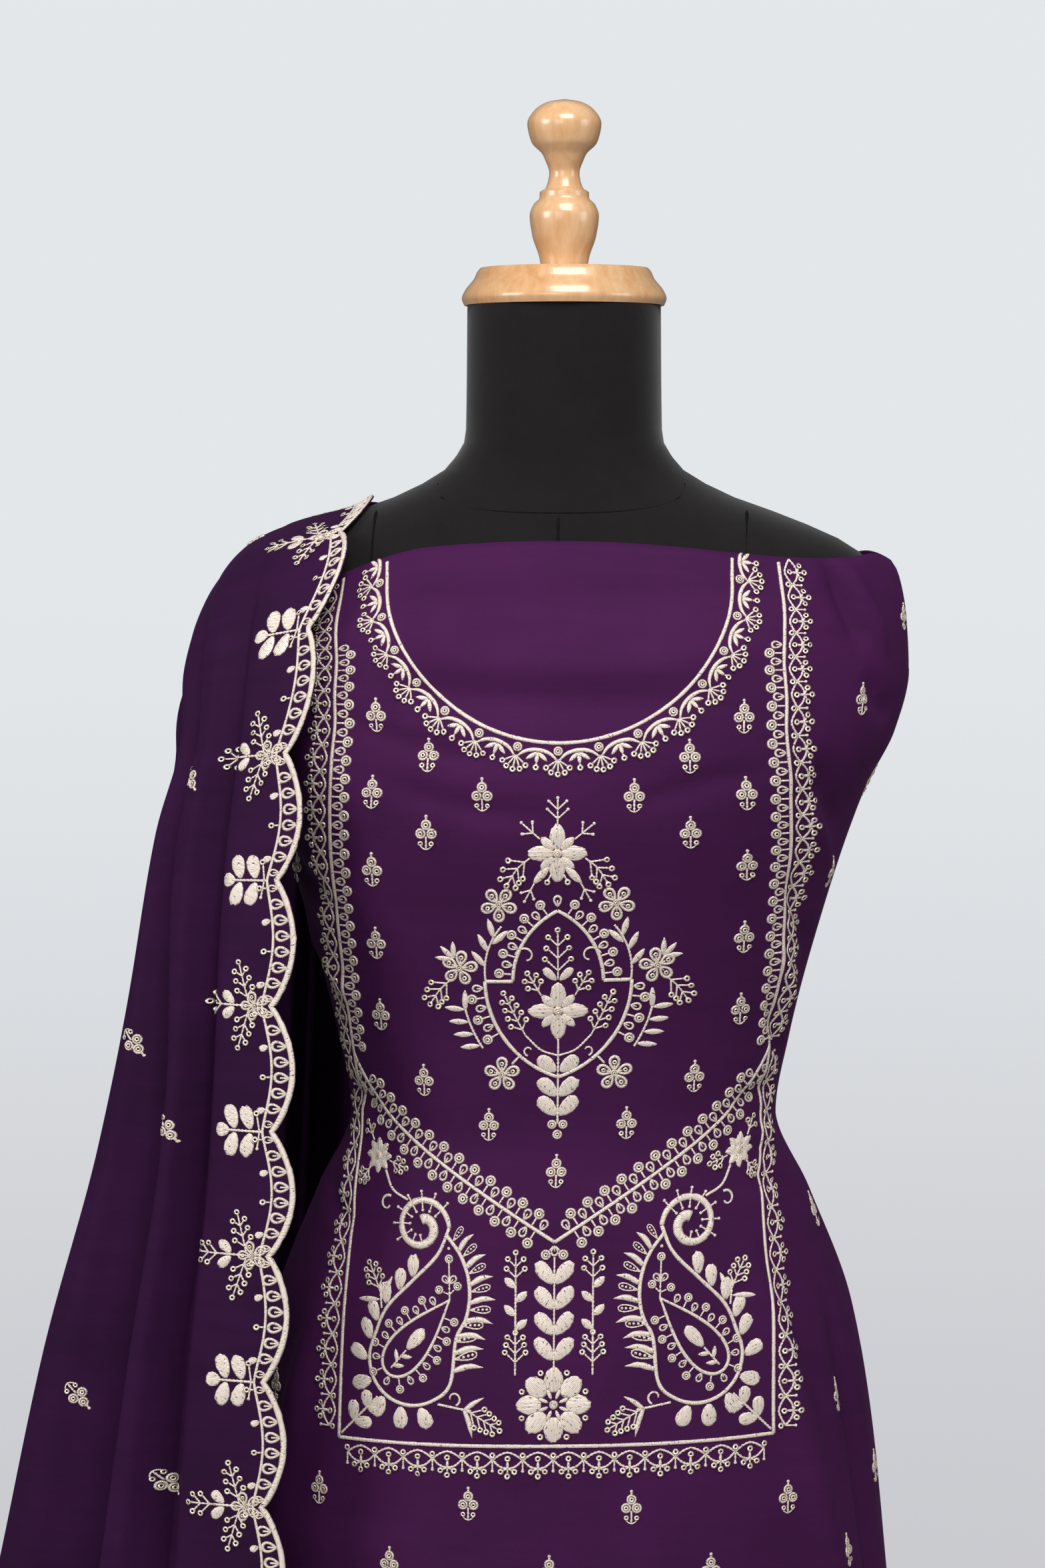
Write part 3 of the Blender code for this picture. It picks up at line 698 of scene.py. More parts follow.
def makeSalwar():
    for name, side in (("left", 1), ("right", -1)):
        turn = np.linspace(1, -1, salwar["columns"] + 1)[None, :] * side
        count = round((salwar["waist"] - salwar["bottom"]) / salwar["rowStep"]) + 1
        levels = np.linspace(salwar["bottom"], salwar["waist"], count)[:, None]
        points = salwarPoint(side, turn, levels)
        flat = flatMeasures(points)
        leg = layGrid("salwar_leg_cloth_" + name, points, flat=flat)
        giveWall(leg, salwar["wall"])
        finishPiece(leg, salwarCloth, "salwar_cloth", "salwar_" + name)
        low = salwarPoint(side, turn, np.full((1, 1), salwar["bottom"]))
        heights = np.linspace(salwar["cuffBottom"], salwar["bottom"] - seamGap, 9)[:, None]
        cuff = np.repeat(low, len(heights), axis=0)
        cuff[..., 2] = heights
        cuffFlat = flatMeasures(cuff)
        band = layGrid("salwar_cuff_cloth_" + name, cuff, flat=cuffFlat)
        giveWall(band, salwar["wall"] + 0.0004)
        finishPiece(band, salwarCloth, "salwar_cloth", "salwar_cuff_" + name)
        print("salwar", name, "cut", [round(v, 3) for v in (*flatSize(flat), flatArea(flat))])


makeSalwar()


dupatta = {
    "pitch": 0.0725, "scallopDepth": 0.0125, "scallopPower": 0.8, "bulgeSkew": 1.3,
    "foldBack": 0.32, "innerEnd": 0.40, "foldShare": 0.7, "wall": 0.0009,
    "rowsPerScallop": 10, "topColumns": 84, "stepWide": 0.055, "underColumns": (16, 20, 12),
    "foldColumns": 4, "scallops": 33,
}
Station = namedtuple("Station", "inner outer bulge spacing peek swell")
dupattaStations = [
    Station((-0.161, -0.154, 0.228), (-0.425, -0.088, 0.228), 0.018, 0.0075, -0.012, 0.026),
    Station((-0.161, -0.148, 0.450), (-0.396, -0.084, 0.450), 0.016, 0.0075, -0.012, 0.025),
    Station((-0.161, -0.139, 0.620), (-0.357, -0.078, 0.620), 0.014, 0.0070, -0.010, 0.024),
    Station((-0.161, -0.131, 0.750), (-0.326, -0.074, 0.750), 0.013, 0.0070, -0.010, 0.023),
    Station((-0.160, -0.122, 0.880), (-0.297, -0.068, 0.880), 0.012, 0.0065, -0.006, 0.023),
    Station((-0.155, -0.115, 1.002), (-0.263, -0.062, 1.002), 0.011, 0.0055, 0.013, 0.021),
    Station((-0.155, -0.112, 1.100), (-0.242, -0.060, 1.100), 0.010, 0.0050, 0.015, 0.019),
    Station((-0.151, -0.110, 1.197), (-0.228, -0.056, 1.190), 0.010, 0.0045, 0.018, 0.015),
    Station((-0.147, -0.106, 1.262), (-0.2145, -0.055, 1.247), 0.010, 0.0038, 0.024, 0.011),
    Station((-0.1395, -0.098, 1.310), (-0.2185, -0.044, 1.283), 0.012, 0.0028, 0.007, 0.006),
    Station((-0.131, -0.078, 1.350), (-0.218, -0.032, 1.304), 0.016, 0.0020, -0.036, 0.002),
    Station((-0.126, -0.046, 1.3705), (-0.216, -0.018, 1.314), 0.018, 0.0017, -0.050, 0.001),
    Station((-0.122, 0.006, 1.383), (-0.214, 0.006, 1.319), 0.018, 0.0016, -0.054, 0.001),
    Station((-0.122, 0.052, 1.3715), (-0.216, 0.034, 1.313), 0.018, 0.0017, -0.050, 0.001),
    Station((-0.124, 0.088, 1.350), (-0.218, 0.054, 1.300), 0.016, 0.0020, -0.036, 0.002),
    Station((-0.127, 0.106, 1.305), (-0.222, 0.066, 1.268), 0.013, 0.0028, -0.012, 0.004),
    Station((-0.129, 0.112, 1.200), (-0.232, 0.072, 1.190), 0.010, 0.0045, -0.008, 0.008),
    Station((-0.133, 0.114, 1.000), (-0.250, 0.080, 1.000), 0.011, 0.0055, -0.008, 0.010),
    Station((-0.137, 0.126, 0.800), (-0.284, 0.088, 0.800), 0.012, 0.0065, -0.010, 0.012),
    Station((-0.141, 0.146, 0.550), (-0.330, 0.098, 0.550), 0.014, 0.0070, -0.010, 0.015),
    Station((-0.146, 0.166, 0.228), (-0.376, 0.106, 0.228), 0.016, 0.0075, -0.012, 0.017),
]
# Where the two long folds step forward, as shares of the way across, from the shoulder to
# either hem. Each band swells towards its step and falls back behind it.
FoldRow = namedtuple("FoldRow", "hang inner outer")
foldRows = [
    FoldRow(0.00, 0.42, 0.78), FoldRow(0.20, 0.42, 0.78), FoldRow(0.34, 0.39, 0.62),
    FoldRow(0.45, 0.37, 0.60), FoldRow(0.60, 0.36, 0.62), FoldRow(1.00, 0.34, 0.64),
]
# How a band stands forward, from behind the next one's step to its own step
bandRows = [(0.0, 0.0), (0.30, 0.56), (0.58, 0.96), (0.80, 0.95), (1.0, 0.62)]


def dupattaTable():
    rows, along = [], 0.0
    for index, station in enumerate(dupattaStations):
        if index:
            along += float(np.linalg.norm(np.subtract(station.inner, dupattaStations[index - 1].inner)))
        rows.append((along, *station.inner, *station.outer, *station[2:]))
    return rows


stationRows = dupattaTable()
dupattaLength = stationRows[-1][0]


def dupattaSections(along):
    values = readRows(stationRows, along)
    inner, chord = values[..., 1:4], values[..., 4:7] - values[..., 1:4]
    ahead = (readRows(stationRows, along + 0.004)[..., 1:4]
             - readRows(stationRows, along - 0.004)[..., 1:4])
    normal = np.cross(ahead, chord)
    normal /= np.linalg.norm(normal, axis=-1, keepdims=True)
    return inner, chord, normal, values[..., 7:]


def ridgeHeight(across, along):
    # The folds fan out from the shoulder, halfway along, towards both hems
    rows = readRows(foldRows, np.minimum(np.abs(2 * along / dupattaLength - 1), 1.0))
    inner, outer = rows[..., 1], rows[..., 2]
    height = 0.0
    for start, end, share in ((-0.30, inner, 0.70), (inner, outer, 1.0), (outer, 1.12, 1.1)):
        rise = readRows(bandRows, np.clip((across - start) / (end - start), 0, 1))[..., 1]
        height = height + share * rise * (1 - fade(across, end - dupatta["stepWide"], end))
    return height


def scallop(along):
    wave = np.abs(np.sin(pi * along / dupatta["pitch"])) ** dupatta["scallopPower"]
    return dupatta["scallopDepth"] * wave


def dupattaPoint(along, reach, depth=0.0, ridged=True):
    # Reach is the way across from the scalloped edge, depth is under the top layer
    inner, chord, normal, values = dupattaSections(along)
    width = np.linalg.norm(chord, axis=-1)
    across = reach / width
    rise = np.clip(across, 0, 1) ** dupatta["bulgeSkew"]
    lift = values[..., 0] * 4 * rise * (1 - rise)
    if ridged:
        lift = lift + values[..., 3] * ridgeHeight(across, along)
    return inner + chord / width[..., None] * reach[..., None] + normal * (lift - depth)[..., None]


def dupattaGrid():
    # Four layers: out to the first fold, in to the second, out to the third and in again
    count = dupatta["scallops"] * dupatta["rowsPerScallop"] + 1
    along = np.linspace(0, dupatta["scallops"] * dupatta["pitch"], count)
    _, chord, _, values = dupattaSections(along)
    width, spacing, peek = np.linalg.norm(chord, axis=-1), values[:, 1], values[:, 2]
    near, far, half = dupatta["foldBack"] * width, width + peek, spacing / 2
    columns = []
    edge = scallop(along)
    for share in np.linspace(0, 1, dupatta["topColumns"] + 1):
        reach = (width - half) * share - edge * max(0.0, 1 - share / 0.12)
        columns.append(dupattaPoint(along, reach))
    ridgeLift = columns[-1] - dupattaPoint(along, width - half, ridged=False)
    turns = [width - half, near, far, dupatta["innerEnd"] * width]
    lift = ridgeLift
    for layer in range(1, 4):
        start, end = turns[layer - 1], turns[layer]
        outward = np.sign(start - (turns[layer - 2] if layer > 1 else 0 * start))
        for step in range(1, dupatta["foldColumns"] + 1):
            bow = pi * step / (dupatta["foldColumns"] + 1)
            reach = start + outward * half * sin(bow)
            depth = (layer - 1) * spacing + half * (1 - cos(bow))
            columns.append(dupattaPoint(along, reach, depth, ridged=False)
                           + lift * (1 - (1 - dupatta["foldShare"]) * bow / (pi / 2) if bow < pi / 2
                                     else dupatta["foldShare"] * (1 - (bow - pi / 2) / (pi / 2))))
        lift = lift * 0
        for share in np.linspace(0, 1, dupatta["underColumns"][layer - 1] + 1):
            columns.append(dupattaPoint(along, start + (end - start) * share, layer * spacing,
                                        ridged=False))
    return np.stack(columns[::-1], axis=1)


dupattaPoints = dupattaGrid()
flat = flatMeasures(dupattaPoints)
dupattaCloth = layGrid("dupatta_cloth", dupattaPoints, flat=flat)
giveWall(dupattaCloth, dupatta["wall"])
finishPiece(dupattaCloth, dupattaShadedGeorgette, "georgette",
            "dupatta_front", "dupatta_shoulder", "dupatta_back")
print("dupatta cut", [round(v, 3) for v in (*flatSize(flat), flatArea(flat))])

# Needlework is drawn flat, in millimetres across, along and off the cloth, and laid on it
# afterwards. The real threads are 0.3 mm thick, too fine to show, so they are drawn coarser.
needle = {
    "cordWide": 2.4, "cordHigh": 0.8, "cordStep": 2.4, "chainWide": 1.15, "chainHigh": 0.65,
    "chainStep": 1.1, "linkLong": 2.3, "ringOuter": 6.1, "ringSequin": 3.1, "sequin": 3.7,
    "knot": 2.3, "loopThick": 1.5, "sequinTilt": 0.26, "uneven": 0.05, "sunk": 0.15, "seed": 7,
}
Shape = namedtuple("Shape", "points loops sizes threads")
Part = namedtuple("Part", "points loops sizes threads")
chance = np.random.default_rng(needle["seed"])


def keepShape(turned=False):
    # Takes the active mesh away as a shape to be stitched many times
    piece = bpy.context.object
    mesh = piece.data
    points = np.array([vertex.co[:] for vertex in mesh.vertices])
    loops = np.array([loop.vertex_index for loop in mesh.loops])
    sizes = np.array([len(face.vertices) for face in mesh.polygons])
    threads = None
    if turned:
        threads = np.array([uv.uv[:] for uv in mesh.uv_layers[0].data])
    bpy.ops.object.delete()
    return Shape(points, loops, sizes, threads)


def makeRing(outer, thick, high, sides, section):
    deselectAll()
    bpy.ops.mesh.primitive_torus_add(major_radius=(outer - thick) / 2, minor_radius=thick / 2,
                                     major_segments=sides, minor_segments=section)
    bpy.ops.transform.resize(value=(1, 1, high / thick))
    bpy.ops.object.transform_apply(location=True, rotation=True, scale=True)
    shape = keepShape(turned=True)
    return shape._replace(threads=shape.threads * (pi * outer, pi * thick))


def makePad(sides, inner, high):
    # A low dome of stitches over padding, one unit wide and long: its rim is extruded up,
    # drawn in and closed with a point
    deselectAll()
    bpy.ops.mesh.primitive_circle_add(vertices=sides, radius=0.5, fill_type="NGON")
    bpy.ops.object.mode_set(mode="EDIT")
    bpy.ops.mesh.select_all(action="SELECT")
    bpy.ops.mesh.extrude_region_move(TRANSFORM_OT_translate={"value": (0, 0, high * 0.78)})
    bpy.ops.transform.resize(value=(inner, inner, 1))
    bpy.ops.mesh.poke(offset=high * 0.22)
    bpy.ops.object.mode_set(mode="OBJECT")
    return keepShape()


def reshape(shape, outline):
    # Outline gives a place for each share of the way round, and how much is left of each side
    angle = np.arctan2(shape.points[:, 0], shape.points[:, 1])
    reach = np.hypot(shape.points[:, 0], shape.points[:, 1])
    return shape._replace(points=np.column_stack([*outline(angle, reach), shape.points[:, 2]]))


def petalOutline(angle, reach):
    # Blunt at its tip and drawn in towards its base, which is at 0
    across = reach * np.sin(angle) * (1 + 0.24 * np.cos(angle))
    return across, 0.5 + reach * np.cos(angle)


def ovalOutline(angle, reach):
    return reach * np.sin(angle) * (1 - 0.08 * np.cos(2 * angle)), 0.5 + reach * np.cos(angle)


def leafOutline(angle, reach):
    # Pointed at both ends
    return reach * np.sin(angle) * (1 - 0.36 * np.cos(angle) ** 2), 0.5 + reach * np.cos(angle)


def loopOutline(angle, reach):
    # A teardrop 7.2 long and 6 wide, as a torus pulled out at its base
    off = reach - (needle["ringOuter"] - needle["loopThick"]) / 2
    pull = 0.5 - 0.5 * np.cos(angle)
    across = (2.3 * (1 - 0.62 * pull ** 2) + off * (1 - 0.3 * pull)) * np.sin(angle)
    return across, 3.9 + (2.9 + off) * np.cos(angle)


ringShape = makeRing(needle["ringOuter"], 1.4, 1.5, 12, 4)
sequinShape = makeRing(1.0, 0.385, 0.06, 10, 3)
loopShape = reshape(makeRing(needle["ringOuter"], needle["loopThick"], 1.3, 14, 4), loopOutline)
roundPad = makePad(20, 0.78, 1.0)
# The stitches end unevenly, so every second corner of a pad's rim is drawn in
rim = np.arange(len(roundPad.points)) % 2 == 0
roundPad.points[rim, :2] *= 0.965
petalPad = reshape(roundPad, petalOutline)
ovalPad = reshape(roundPad, ovalOutline)
leafPad = reshape(roundPad, leafOutline)
knotPad = makePad(7, 0.6, 1.0)


def pathLength(path):
    return np.concatenate([[0], np.cumsum(np.abs(np.diff(path)))])


def evenPath(path, step):
    lengths = pathLength(path)
    places = np.linspace(0, lengths[-1], max(3, round(lengths[-1] / step) + 1))
    return np.interp(places, lengths, path.real) + 1j * np.interp(places, lengths, path.imag)


def curve(*corners, closed=False, step=1.0):
    # A smooth path through its corners, as complex numbers across + along * 1j
    corners = np.array([complex(*corner) for corner in corners])
    if closed:
        before, after = np.roll(corners, 1), np.roll(corners, -1)
        slope = (after - before) / 2
        corners, slope = np.append(corners, corners[0]), np.append(slope, slope[0])
    else:
        slope = np.gradient(corners)
    t = np.linspace(0, 1, 13)[:-1, None]
    path = (corners[:-1] * (2 * t ** 3 - 3 * t ** 2 + 1) + slope[:-1] * (t ** 3 - 2 * t ** 2 + t)
            + corners[1:] * (3 * t ** 2 - 2 * t ** 3) + slope[1:] * (t ** 3 - t ** 2))
    return evenPath(np.append(path.T.ravel(), corners[-1]), step)


def arc(x, y, radius, start, end, step=1.0):
    turn = np.radians(np.linspace(start, end, 48))
    return evenPath(complex(x, y) + radius * np.exp(1j * turn), step)


def stops(path, pitch, first=0.0, last=None):
    # Places along a path a pitch apart, each with its direction
    lengths = pathLength(path)
    last = lengths[-1] if last is None else last
    places = np.arange(first, last + 0.01, pitch)
    ahead = np.gradient(path) / np.abs(np.gradient(path))
    for place in places:
        spot = np.interp(place, lengths, path.real) + 1j * np.interp(place, lengths, path.imag)
        way = np.interp(place, lengths, ahead.real) + 1j * np.interp(place, lengths, ahead.imag)
        yield spot.real, spot.imag, float(np.degrees(np.angle(way)))


class Hand:
    # Stitches into a drawing at a place, in millimetres, turned in degrees: forward is +y
    def __init__(self, drawing, scale=1 + 0j, place=0j, mirrored=False):
        self.drawing, self.scale, self.place, self.mirrored = drawing, scale, place, mirrored

    def at(self, x, y, turn=0.0, size=1.0, mirror=False):
        scale, place = size * np.exp(1j * radians(turn)), complex(x, y)
        if mirror:
            scale = -scale
        if self.mirrored:
            scale, place = scale.conjugate(), place.conjugate()
        return Hand(self.drawing, self.scale * scale, self.scale * place + self.place,
                    self.mirrored != mirror)

    def lay(self, path):
        return self.scale * (np.conj(path) if self.mirrored else path) + self.place

    def stamp(self, kind, shape, wide=1.0, long=1.0, high=1.0, lift=0.0, tilt=(0, 0), grain=0):
        points = shape.points * (wide, long, high)
        if shape.threads is None and wide > 2.5:
            points[:, :2] *= 1 + chance.normal(0, needle["uneven"] / 2, (len(points), 2))
        placed = self.lay(points[:, 0] + 1j * points[:, 1])
        height = points[:, 2] + lift + points[:, 0] * tilt[0] + points[:, 1] * tilt[1]
        if shape.threads is None:
            across, along = points[shape.loops, 0], points[shape.loops, 1]
            threads = np.column_stack([across, along] if grain else [along + 0.45 * across, across])
        else:
            threads = shape.threads
        self.drawing[kind].append(Part(np.column_stack([placed.real, placed.imag, height]),
                                       shape.loops, shape.sizes, threads * abs(self.scale)))

    def cord(self, path, wide=None, high=None, step=None, ends=None):
        # Satin stitch: a low strip with a flat crown, whose width may change along it
        wide = needle["cordWide"] if wide is None else wide
        high = needle["cordHigh"] if high is None else high
        path = evenPath(np.asarray(path), needle["cordStep"] if step is None else step)
        share = np.linspace(0, 1, len(path))
        wide = np.interp(share, np.linspace(0, 1, np.size(wide)), np.ravel(wide))
        self.strip(path, wide, high, 0.45)

    def chain(self, path, wide=None, high=None):
        # Chain stitch: links that swell and pinch along the line
        wide = needle["chainWide"] if wide is None else wide
        path = evenPath(np.asarray(path), needle["chainStep"])
        swell = 1 + 0.3 * np.sin(2 * pi * pathLength(path) / needle["linkLong"])
        self.strip(path, wide * swell, needle["chainHigh"] if high is None else high, 0.0)

    def strip(self, path, wide, high, slant):
        lengths = pathLength(path)
        path = self.lay(path)
        ahead = np.gradient(path)
        side = 1j * ahead / np.abs(ahead)
        size = abs(self.scale)
        rows = len(path)
        thin = np.clip(wide / np.max(wide) * 1.6, 0.35, 1.0)
        wide = wide * (1 + chance.normal(0, needle["uneven"], rows))
        points = np.empty((rows, 4, 3))
        for column, (reach, rise) in enumerate(((-0.5, 0), (-0.27, 1), (0.27, 1), (0.5, 0))):
            spot = path + side * wide * reach * size
            points[:, column] = np.column_stack([spot.real, spot.imag, high * rise * thin])
        row, column = np.meshgrid(np.arange(rows - 1), np.arange(4), indexing="ij")
        nextColumn = (column + 1) % 4
        quads = np.stack([row * 4 + column, row * 4 + nextColumn, (row + 1) * 4 + nextColumn,
                          (row + 1) * 4 + column], axis=-1).reshape(-1, 4)
        ends = np.array([[3, 2, 1, 0], [rows * 4 - 4, rows * 4 - 3, rows * 4 - 2, rows * 4 - 1]])
        loops = np.vstack([quads, ends]).ravel()
        across = np.array([-0.5, -0.27, 0.27, 0.5])[loops % 4] * wide[loops // 4]
        threads = np.column_stack([lengths[loops // 4] + slant * across, across]) * size
        self.drawing["thread"].append(Part(points.reshape(-1, 3), loops,
                                           np.full(len(quads) + 2, 4), threads))

    def sequin(self, x, y, size=None):
        # A foil cup with a hole, held by one stitch, so that each leans its own way
        size = needle["sequin"] if size is None else size
        tilt = chance.normal(0, needle["sequinTilt"] / 2, 2)
        self.at(x, y).stamp("foil", sequinShape, size, size, size, 0.95, tilt)

    def knot(self, x, y, size=None):
        size = needle["knot"] if size is None else size
        self.at(x, y).stamp("thread", knotPad, size, size, 1.0)

    def ring(self, x, y, size=1.0):
        self.at(x, y, size=size).stamp("thread", ringShape, lift=0.25)
        self.sequin(x, y, needle["ringSequin"] * size)

    def loop(self, x, y, turn=0.0, size=1.0, filled=True):
        hand = self.at(x, y, turn, size)
        hand.stamp("thread", loopShape, lift=0.2)
        if filled:
            hand.cord(np.array([1.0j, 4.4j]), (0.8, 1.0), 0.7)

    def petal(self, x, y, turn=0.0, long=15.0, wide=9.0, grain=1, shape=None):
        shape = shape or petalPad
        self.at(x, y, turn).stamp("thread", shape, wide, long, 0.6, grain=grain)

    def leaf(self, x, y, turn=0.0, long=9.0, wide=3.0):
        self.at(x, y, turn).stamp("thread", leafPad, wide, long, 0.7)


def horn(hand, long, bend, wide=2.8):
    # A leaf like a curved horn, broad in its middle: it leans over first and then comes back
    path = curve((0, 0), (bend * 0.9, long * 0.5), (bend * 1.1, long))
    hand.cord(path, (wide * 0.7, wide, wide * 0.85, 0.4), 0.85, 1.8)


def stalk(hand, long, end="knot", wide=None):
    hand.chain(np.array([0j, long * 1j]), wide)
    if end == "knot":
        hand.knot(0, long)
    else:
        hand.sequin(0, long + 0.8, needle["sequin"])


def spray(hand, long=17.0, pairs=3, reach=5.5, bend=0.0, end="foil"):
    # A chain stem with stalks in pairs, shorter towards its tip, each with a sequin or a knot
    path = curve((0, 0), (bend * 0.3, long * 0.5), (bend, long))
    hand.chain(path)
    x, y, turn = list(stops(path, 1.0))[-1]
    stalk(hand.at(x, y, turn - 90), 1.0, end)
    whole = pathLength(path)[-1]
    places = (np.arange(pairs) + 0.7) / (pairs + 0.75) * whole
    for index, (x, y, turn) in enumerate(stops(path, whole / (pairs + 0.75), places[0])):
        if index < pairs:
            for side in (-1, 1):
                stalk(hand.at(x, y, turn - 90 + side * 46), reach * (1 - 0.14 * index), end)


def trefoil(hand, reach=4.6, spread=62, count=3, size=1.0):
    # Sequins on short satin stalks, fanned out from one point
    for turn in np.linspace(-spread, spread, count):
        petal = hand.at(0, 0, turn, size)
        petal.cord(np.array([0j, (reach - 1.4) * 1j]), (0.9, 1.4), 0.7)
        petal.sequin(0, reach, needle["sequin"])


def leafSprig(hand, long=6.5):
    # Two leaves and a bar between them, which ends in a sequin
    for side in (-1, 1):
        hand.leaf(0, 0, side * 52, long + 1.5, 2.7)
    hand.leaf(0, 0, 0, long + 0.5, 2.6)
    stalk(hand.at(0, long), 1.6, "foil")


def leafyStem(hand, path, pitch=8.0, long=9.5, wide=3.1, first=3.0, lean=38, sides=(-1, 1)):
    hand.chain(path, 1.4)
    last = pathLength(path)[-1] - 2
    for index, (x, y, turn) in enumerate(stops(path, pitch / len(sides), first, last)):
        hand.at(x, y, turn - 90 + sides[index % len(sides)] * lean).leaf(0, -0.8, 0, long, wide)


def flower(hand, radius=18.0, broad=4, wide=9.2, narrow=5.4, reach=0.76, start=0.06):
    # Broad padded petals with narrow ones between them, round a ring
    step = 360 / broad
    for index in range(broad):
        between = hand.at(0, 0, (index + 0.5) * step)
        between.petal(0, radius * 0.14, 0, radius * (reach - 0.14), narrow, grain=0, shape=ovalPad)
        hand.at(0, 0, index * step).petal(0, radius * start, 0, radius * (1 - start), wide,
                                          shape=ovalPad)
    hand.stamp("thread", roundPad, 5.6, 5.6, 1.0)
    hand.at(0, 0, size=0.75).stamp("thread", ringShape, lift=0.8)
    hand.stamp("foil", sequinShape, 2.6, 2.6, 2.6, 1.5, chance.normal(0, 0.08, 2))


def ringFlower(hand, radius=10.4, turn=0.0):
    # Five wide loops, each with a sequin on a stalk in it
    for index in range(5):
        petal = hand.at(0, 0, turn + 72 * index, radius / 10.4)
        petal.at(0, 0.9, 0, 1.32).stamp("thread", loopShape, lift=0.2)
        petal.cord(np.array([1.5j, 4.8j]), (0.8, 1.1), 0.7)
        petal.sequin(0, 6.6, 2.9)
    hand.ring(0, 0, 0.72)


def butti(hand):
    # The small scattered sprig: three rings over a stem with two sequins at its foot
    hand.knot(0, 9.2)
    hand.knot(0, 7.7, 1.7)
    for x, y in ((0, 4.5), (-3.1, -0.4), (3.1, -0.4)):
        hand.ring(x, y, 1.0)
    hand.chain(np.array([-2.0j, -9.4j]), 1.3)
    for side in (-1, 1):
        hand.sequin(side * 3.0, -5.9, 3.1)
        hand.chain(curve((0, -9.4), (side * 2.2, -8.4), (side * 3.4, -6.6)), 0.9)


def comb(hand, path, side, pitch=10.7, first=4.0, last=None, size=1.08, ringFirst=False):
    # Loops that stand on a cord, and between them rings on stalks
    for index, (x, y, turn) in enumerate(stops(path, pitch / 2, first, last)):
        out = hand.at(x, y, turn if side > 0 else turn - 180, size)
        if index % 2 != ringFirst:
            out.at(0, 1.0).chain(np.array([0j, 4.4j]))
            out.ring(0, 8.2)
        else:
            out.loop(0, 0.8, 0, 0.92)


def lattice(hand, path, side, pitch=17.7, deep=12.8, first=0.0):
    # Two chains cross and part in rounded diamonds; each diamond has a sequin in it and a
    # trefoil outside it, and each crossing a sequin and a knot on a stalk
    spots = list(stops(path, pitch / 2, first))
    middle, top = deep * 0.62, deep * 0.28
    for index, (x, y, turn) in enumerate(spots):
        out = hand.at(x, y, turn if side > 0 else turn - 180)
        half = pitch / 2
        if index % 2:
            for tip, bow in ((top, 1.4), (deep, -1.0)):
                out.chain(curve((-half, middle), (-half * 0.5, tip + bow), (0, tip),
                                (half * 0.5, tip + bow), (half, middle)), 1.4)
            out.sequin(0, deep * 0.55)
            out.cord(np.array([(deep * 0.68) * 1j, (deep + 0.4) * 1j]), (1.2, 2.0, 1.4), 0.8, 1.2)
            trefoil(out.at(0, deep), 4.4, 66)
        else:
            out.sequin(0, middle - 2.8)
            stalk(out.at(0, middle), deep * 0.5)


yoke = {
    "half": 130.0, "top": 1361.5, "bottom": 841.0, "lean": 0.025, "leanFades": (1160, 1220),
    "combTop": 1313.0, "corner": 1063.0, "neckLevel": 1350.0, "neckAcross": 100.5, "neckDeep": 98.3,
    "neckPitch": 22.2, "point": 958.5, "armRise": 0.8, "sweep": 8.0,
}
# The panel is drawn with straight sides. On the figure they lie this far out at each level,
# and its middle lies this far to one side.
YokeRow = namedtuple("YokeRow", "level half shift")
yokeRows = [
    YokeRow(835, 131, 0.0), YokeRow(900, 130, 0.0), YokeRow(965, 128, 0.0),
    YokeRow(1020, 134, 1.0), YokeRow(1090, 140, 2.0), YokeRow(1180, 142, 2.5),
    YokeRow(1225, 137.5, 3.0), YokeRow(1262, 132, 3.0), YokeRow(1335, 130, 1.5),
    YokeRow(1363, 127.5, 1.0),
]


def yokeToCloth(across, level):
    rows = readRows(yokeRows, level)
    swell = (rows[..., 1] / yoke["half"] - 1) * np.clip((across / yoke["half"]) ** 2, 0, 1.35)
    swell = swell * fade(np.abs(across), 175, 150)
    lean = yoke["lean"] * across * fade(level, *yoke["leanFades"][::-1])
    return rows[..., 2] + across * (1 + swell), level + lean


def neckPath():
    # Up the left of the neckline, round its U and up the right
    x, level, deep = yoke["neckAcross"], yoke["neckLevel"], yoke["neckDeep"]
    turn = np.radians(np.linspace(180, 360, 90))
    bowl = x * np.cos(turn) + 1j * (level + deep * np.sin(turn))
    ends = [-x - 0.8 + 1j * yoke["top"]], [x + 0.8 + 1j * yoke["top"]]
    return evenPath(np.concatenate([ends[0], bowl, ends[1]]), 1.0)


def neckVine(hand):
    path = neckPath()
    hand.cord(path)
    length, pitch = pathLength(path)[-1], yoke["neckPitch"]
    count = int(length / pitch)
    for index, (x, y, turn) in enumerate(stops(path, pitch / 2, (length - count * pitch) / 2)):
        out = hand.at(x, y, turn - 180)
        if (index + count) % 2 == 0:
            out.ring(0, 4.6, 0.9)
            trefoil(out.at(0, 9.4), 8.2, 56, 5)
            continue
        # The crescent between two junctions bows towards the neckline
        reach = pitch / 2 + 0.4
        out.cord(curve((-reach, 9.4), (-reach * 0.6, 5.8), (0, 4.4), (reach * 0.6, 5.8), (reach, 9.4)),
                 (1.2, 2.4, 2.6, 2.4, 1.2), 0.95)
        leafSprig(out.at(0, 5.6))


def bandLevel(across):
    # A V with straight arms that sweep up at their ends
    share = np.abs(across) / yoke["half"]
    return yoke["point"] + (yoke["corner"] - yoke["point"]) * (
        yoke["armRise"] * share + (1 - yoke["armRise"]) * share ** yoke["sweep"])


def vPath(side):
    across = np.linspace(yoke["half"], 0, 60)
    return evenPath(side * across + 1j * bandLevel(across), 1.0)


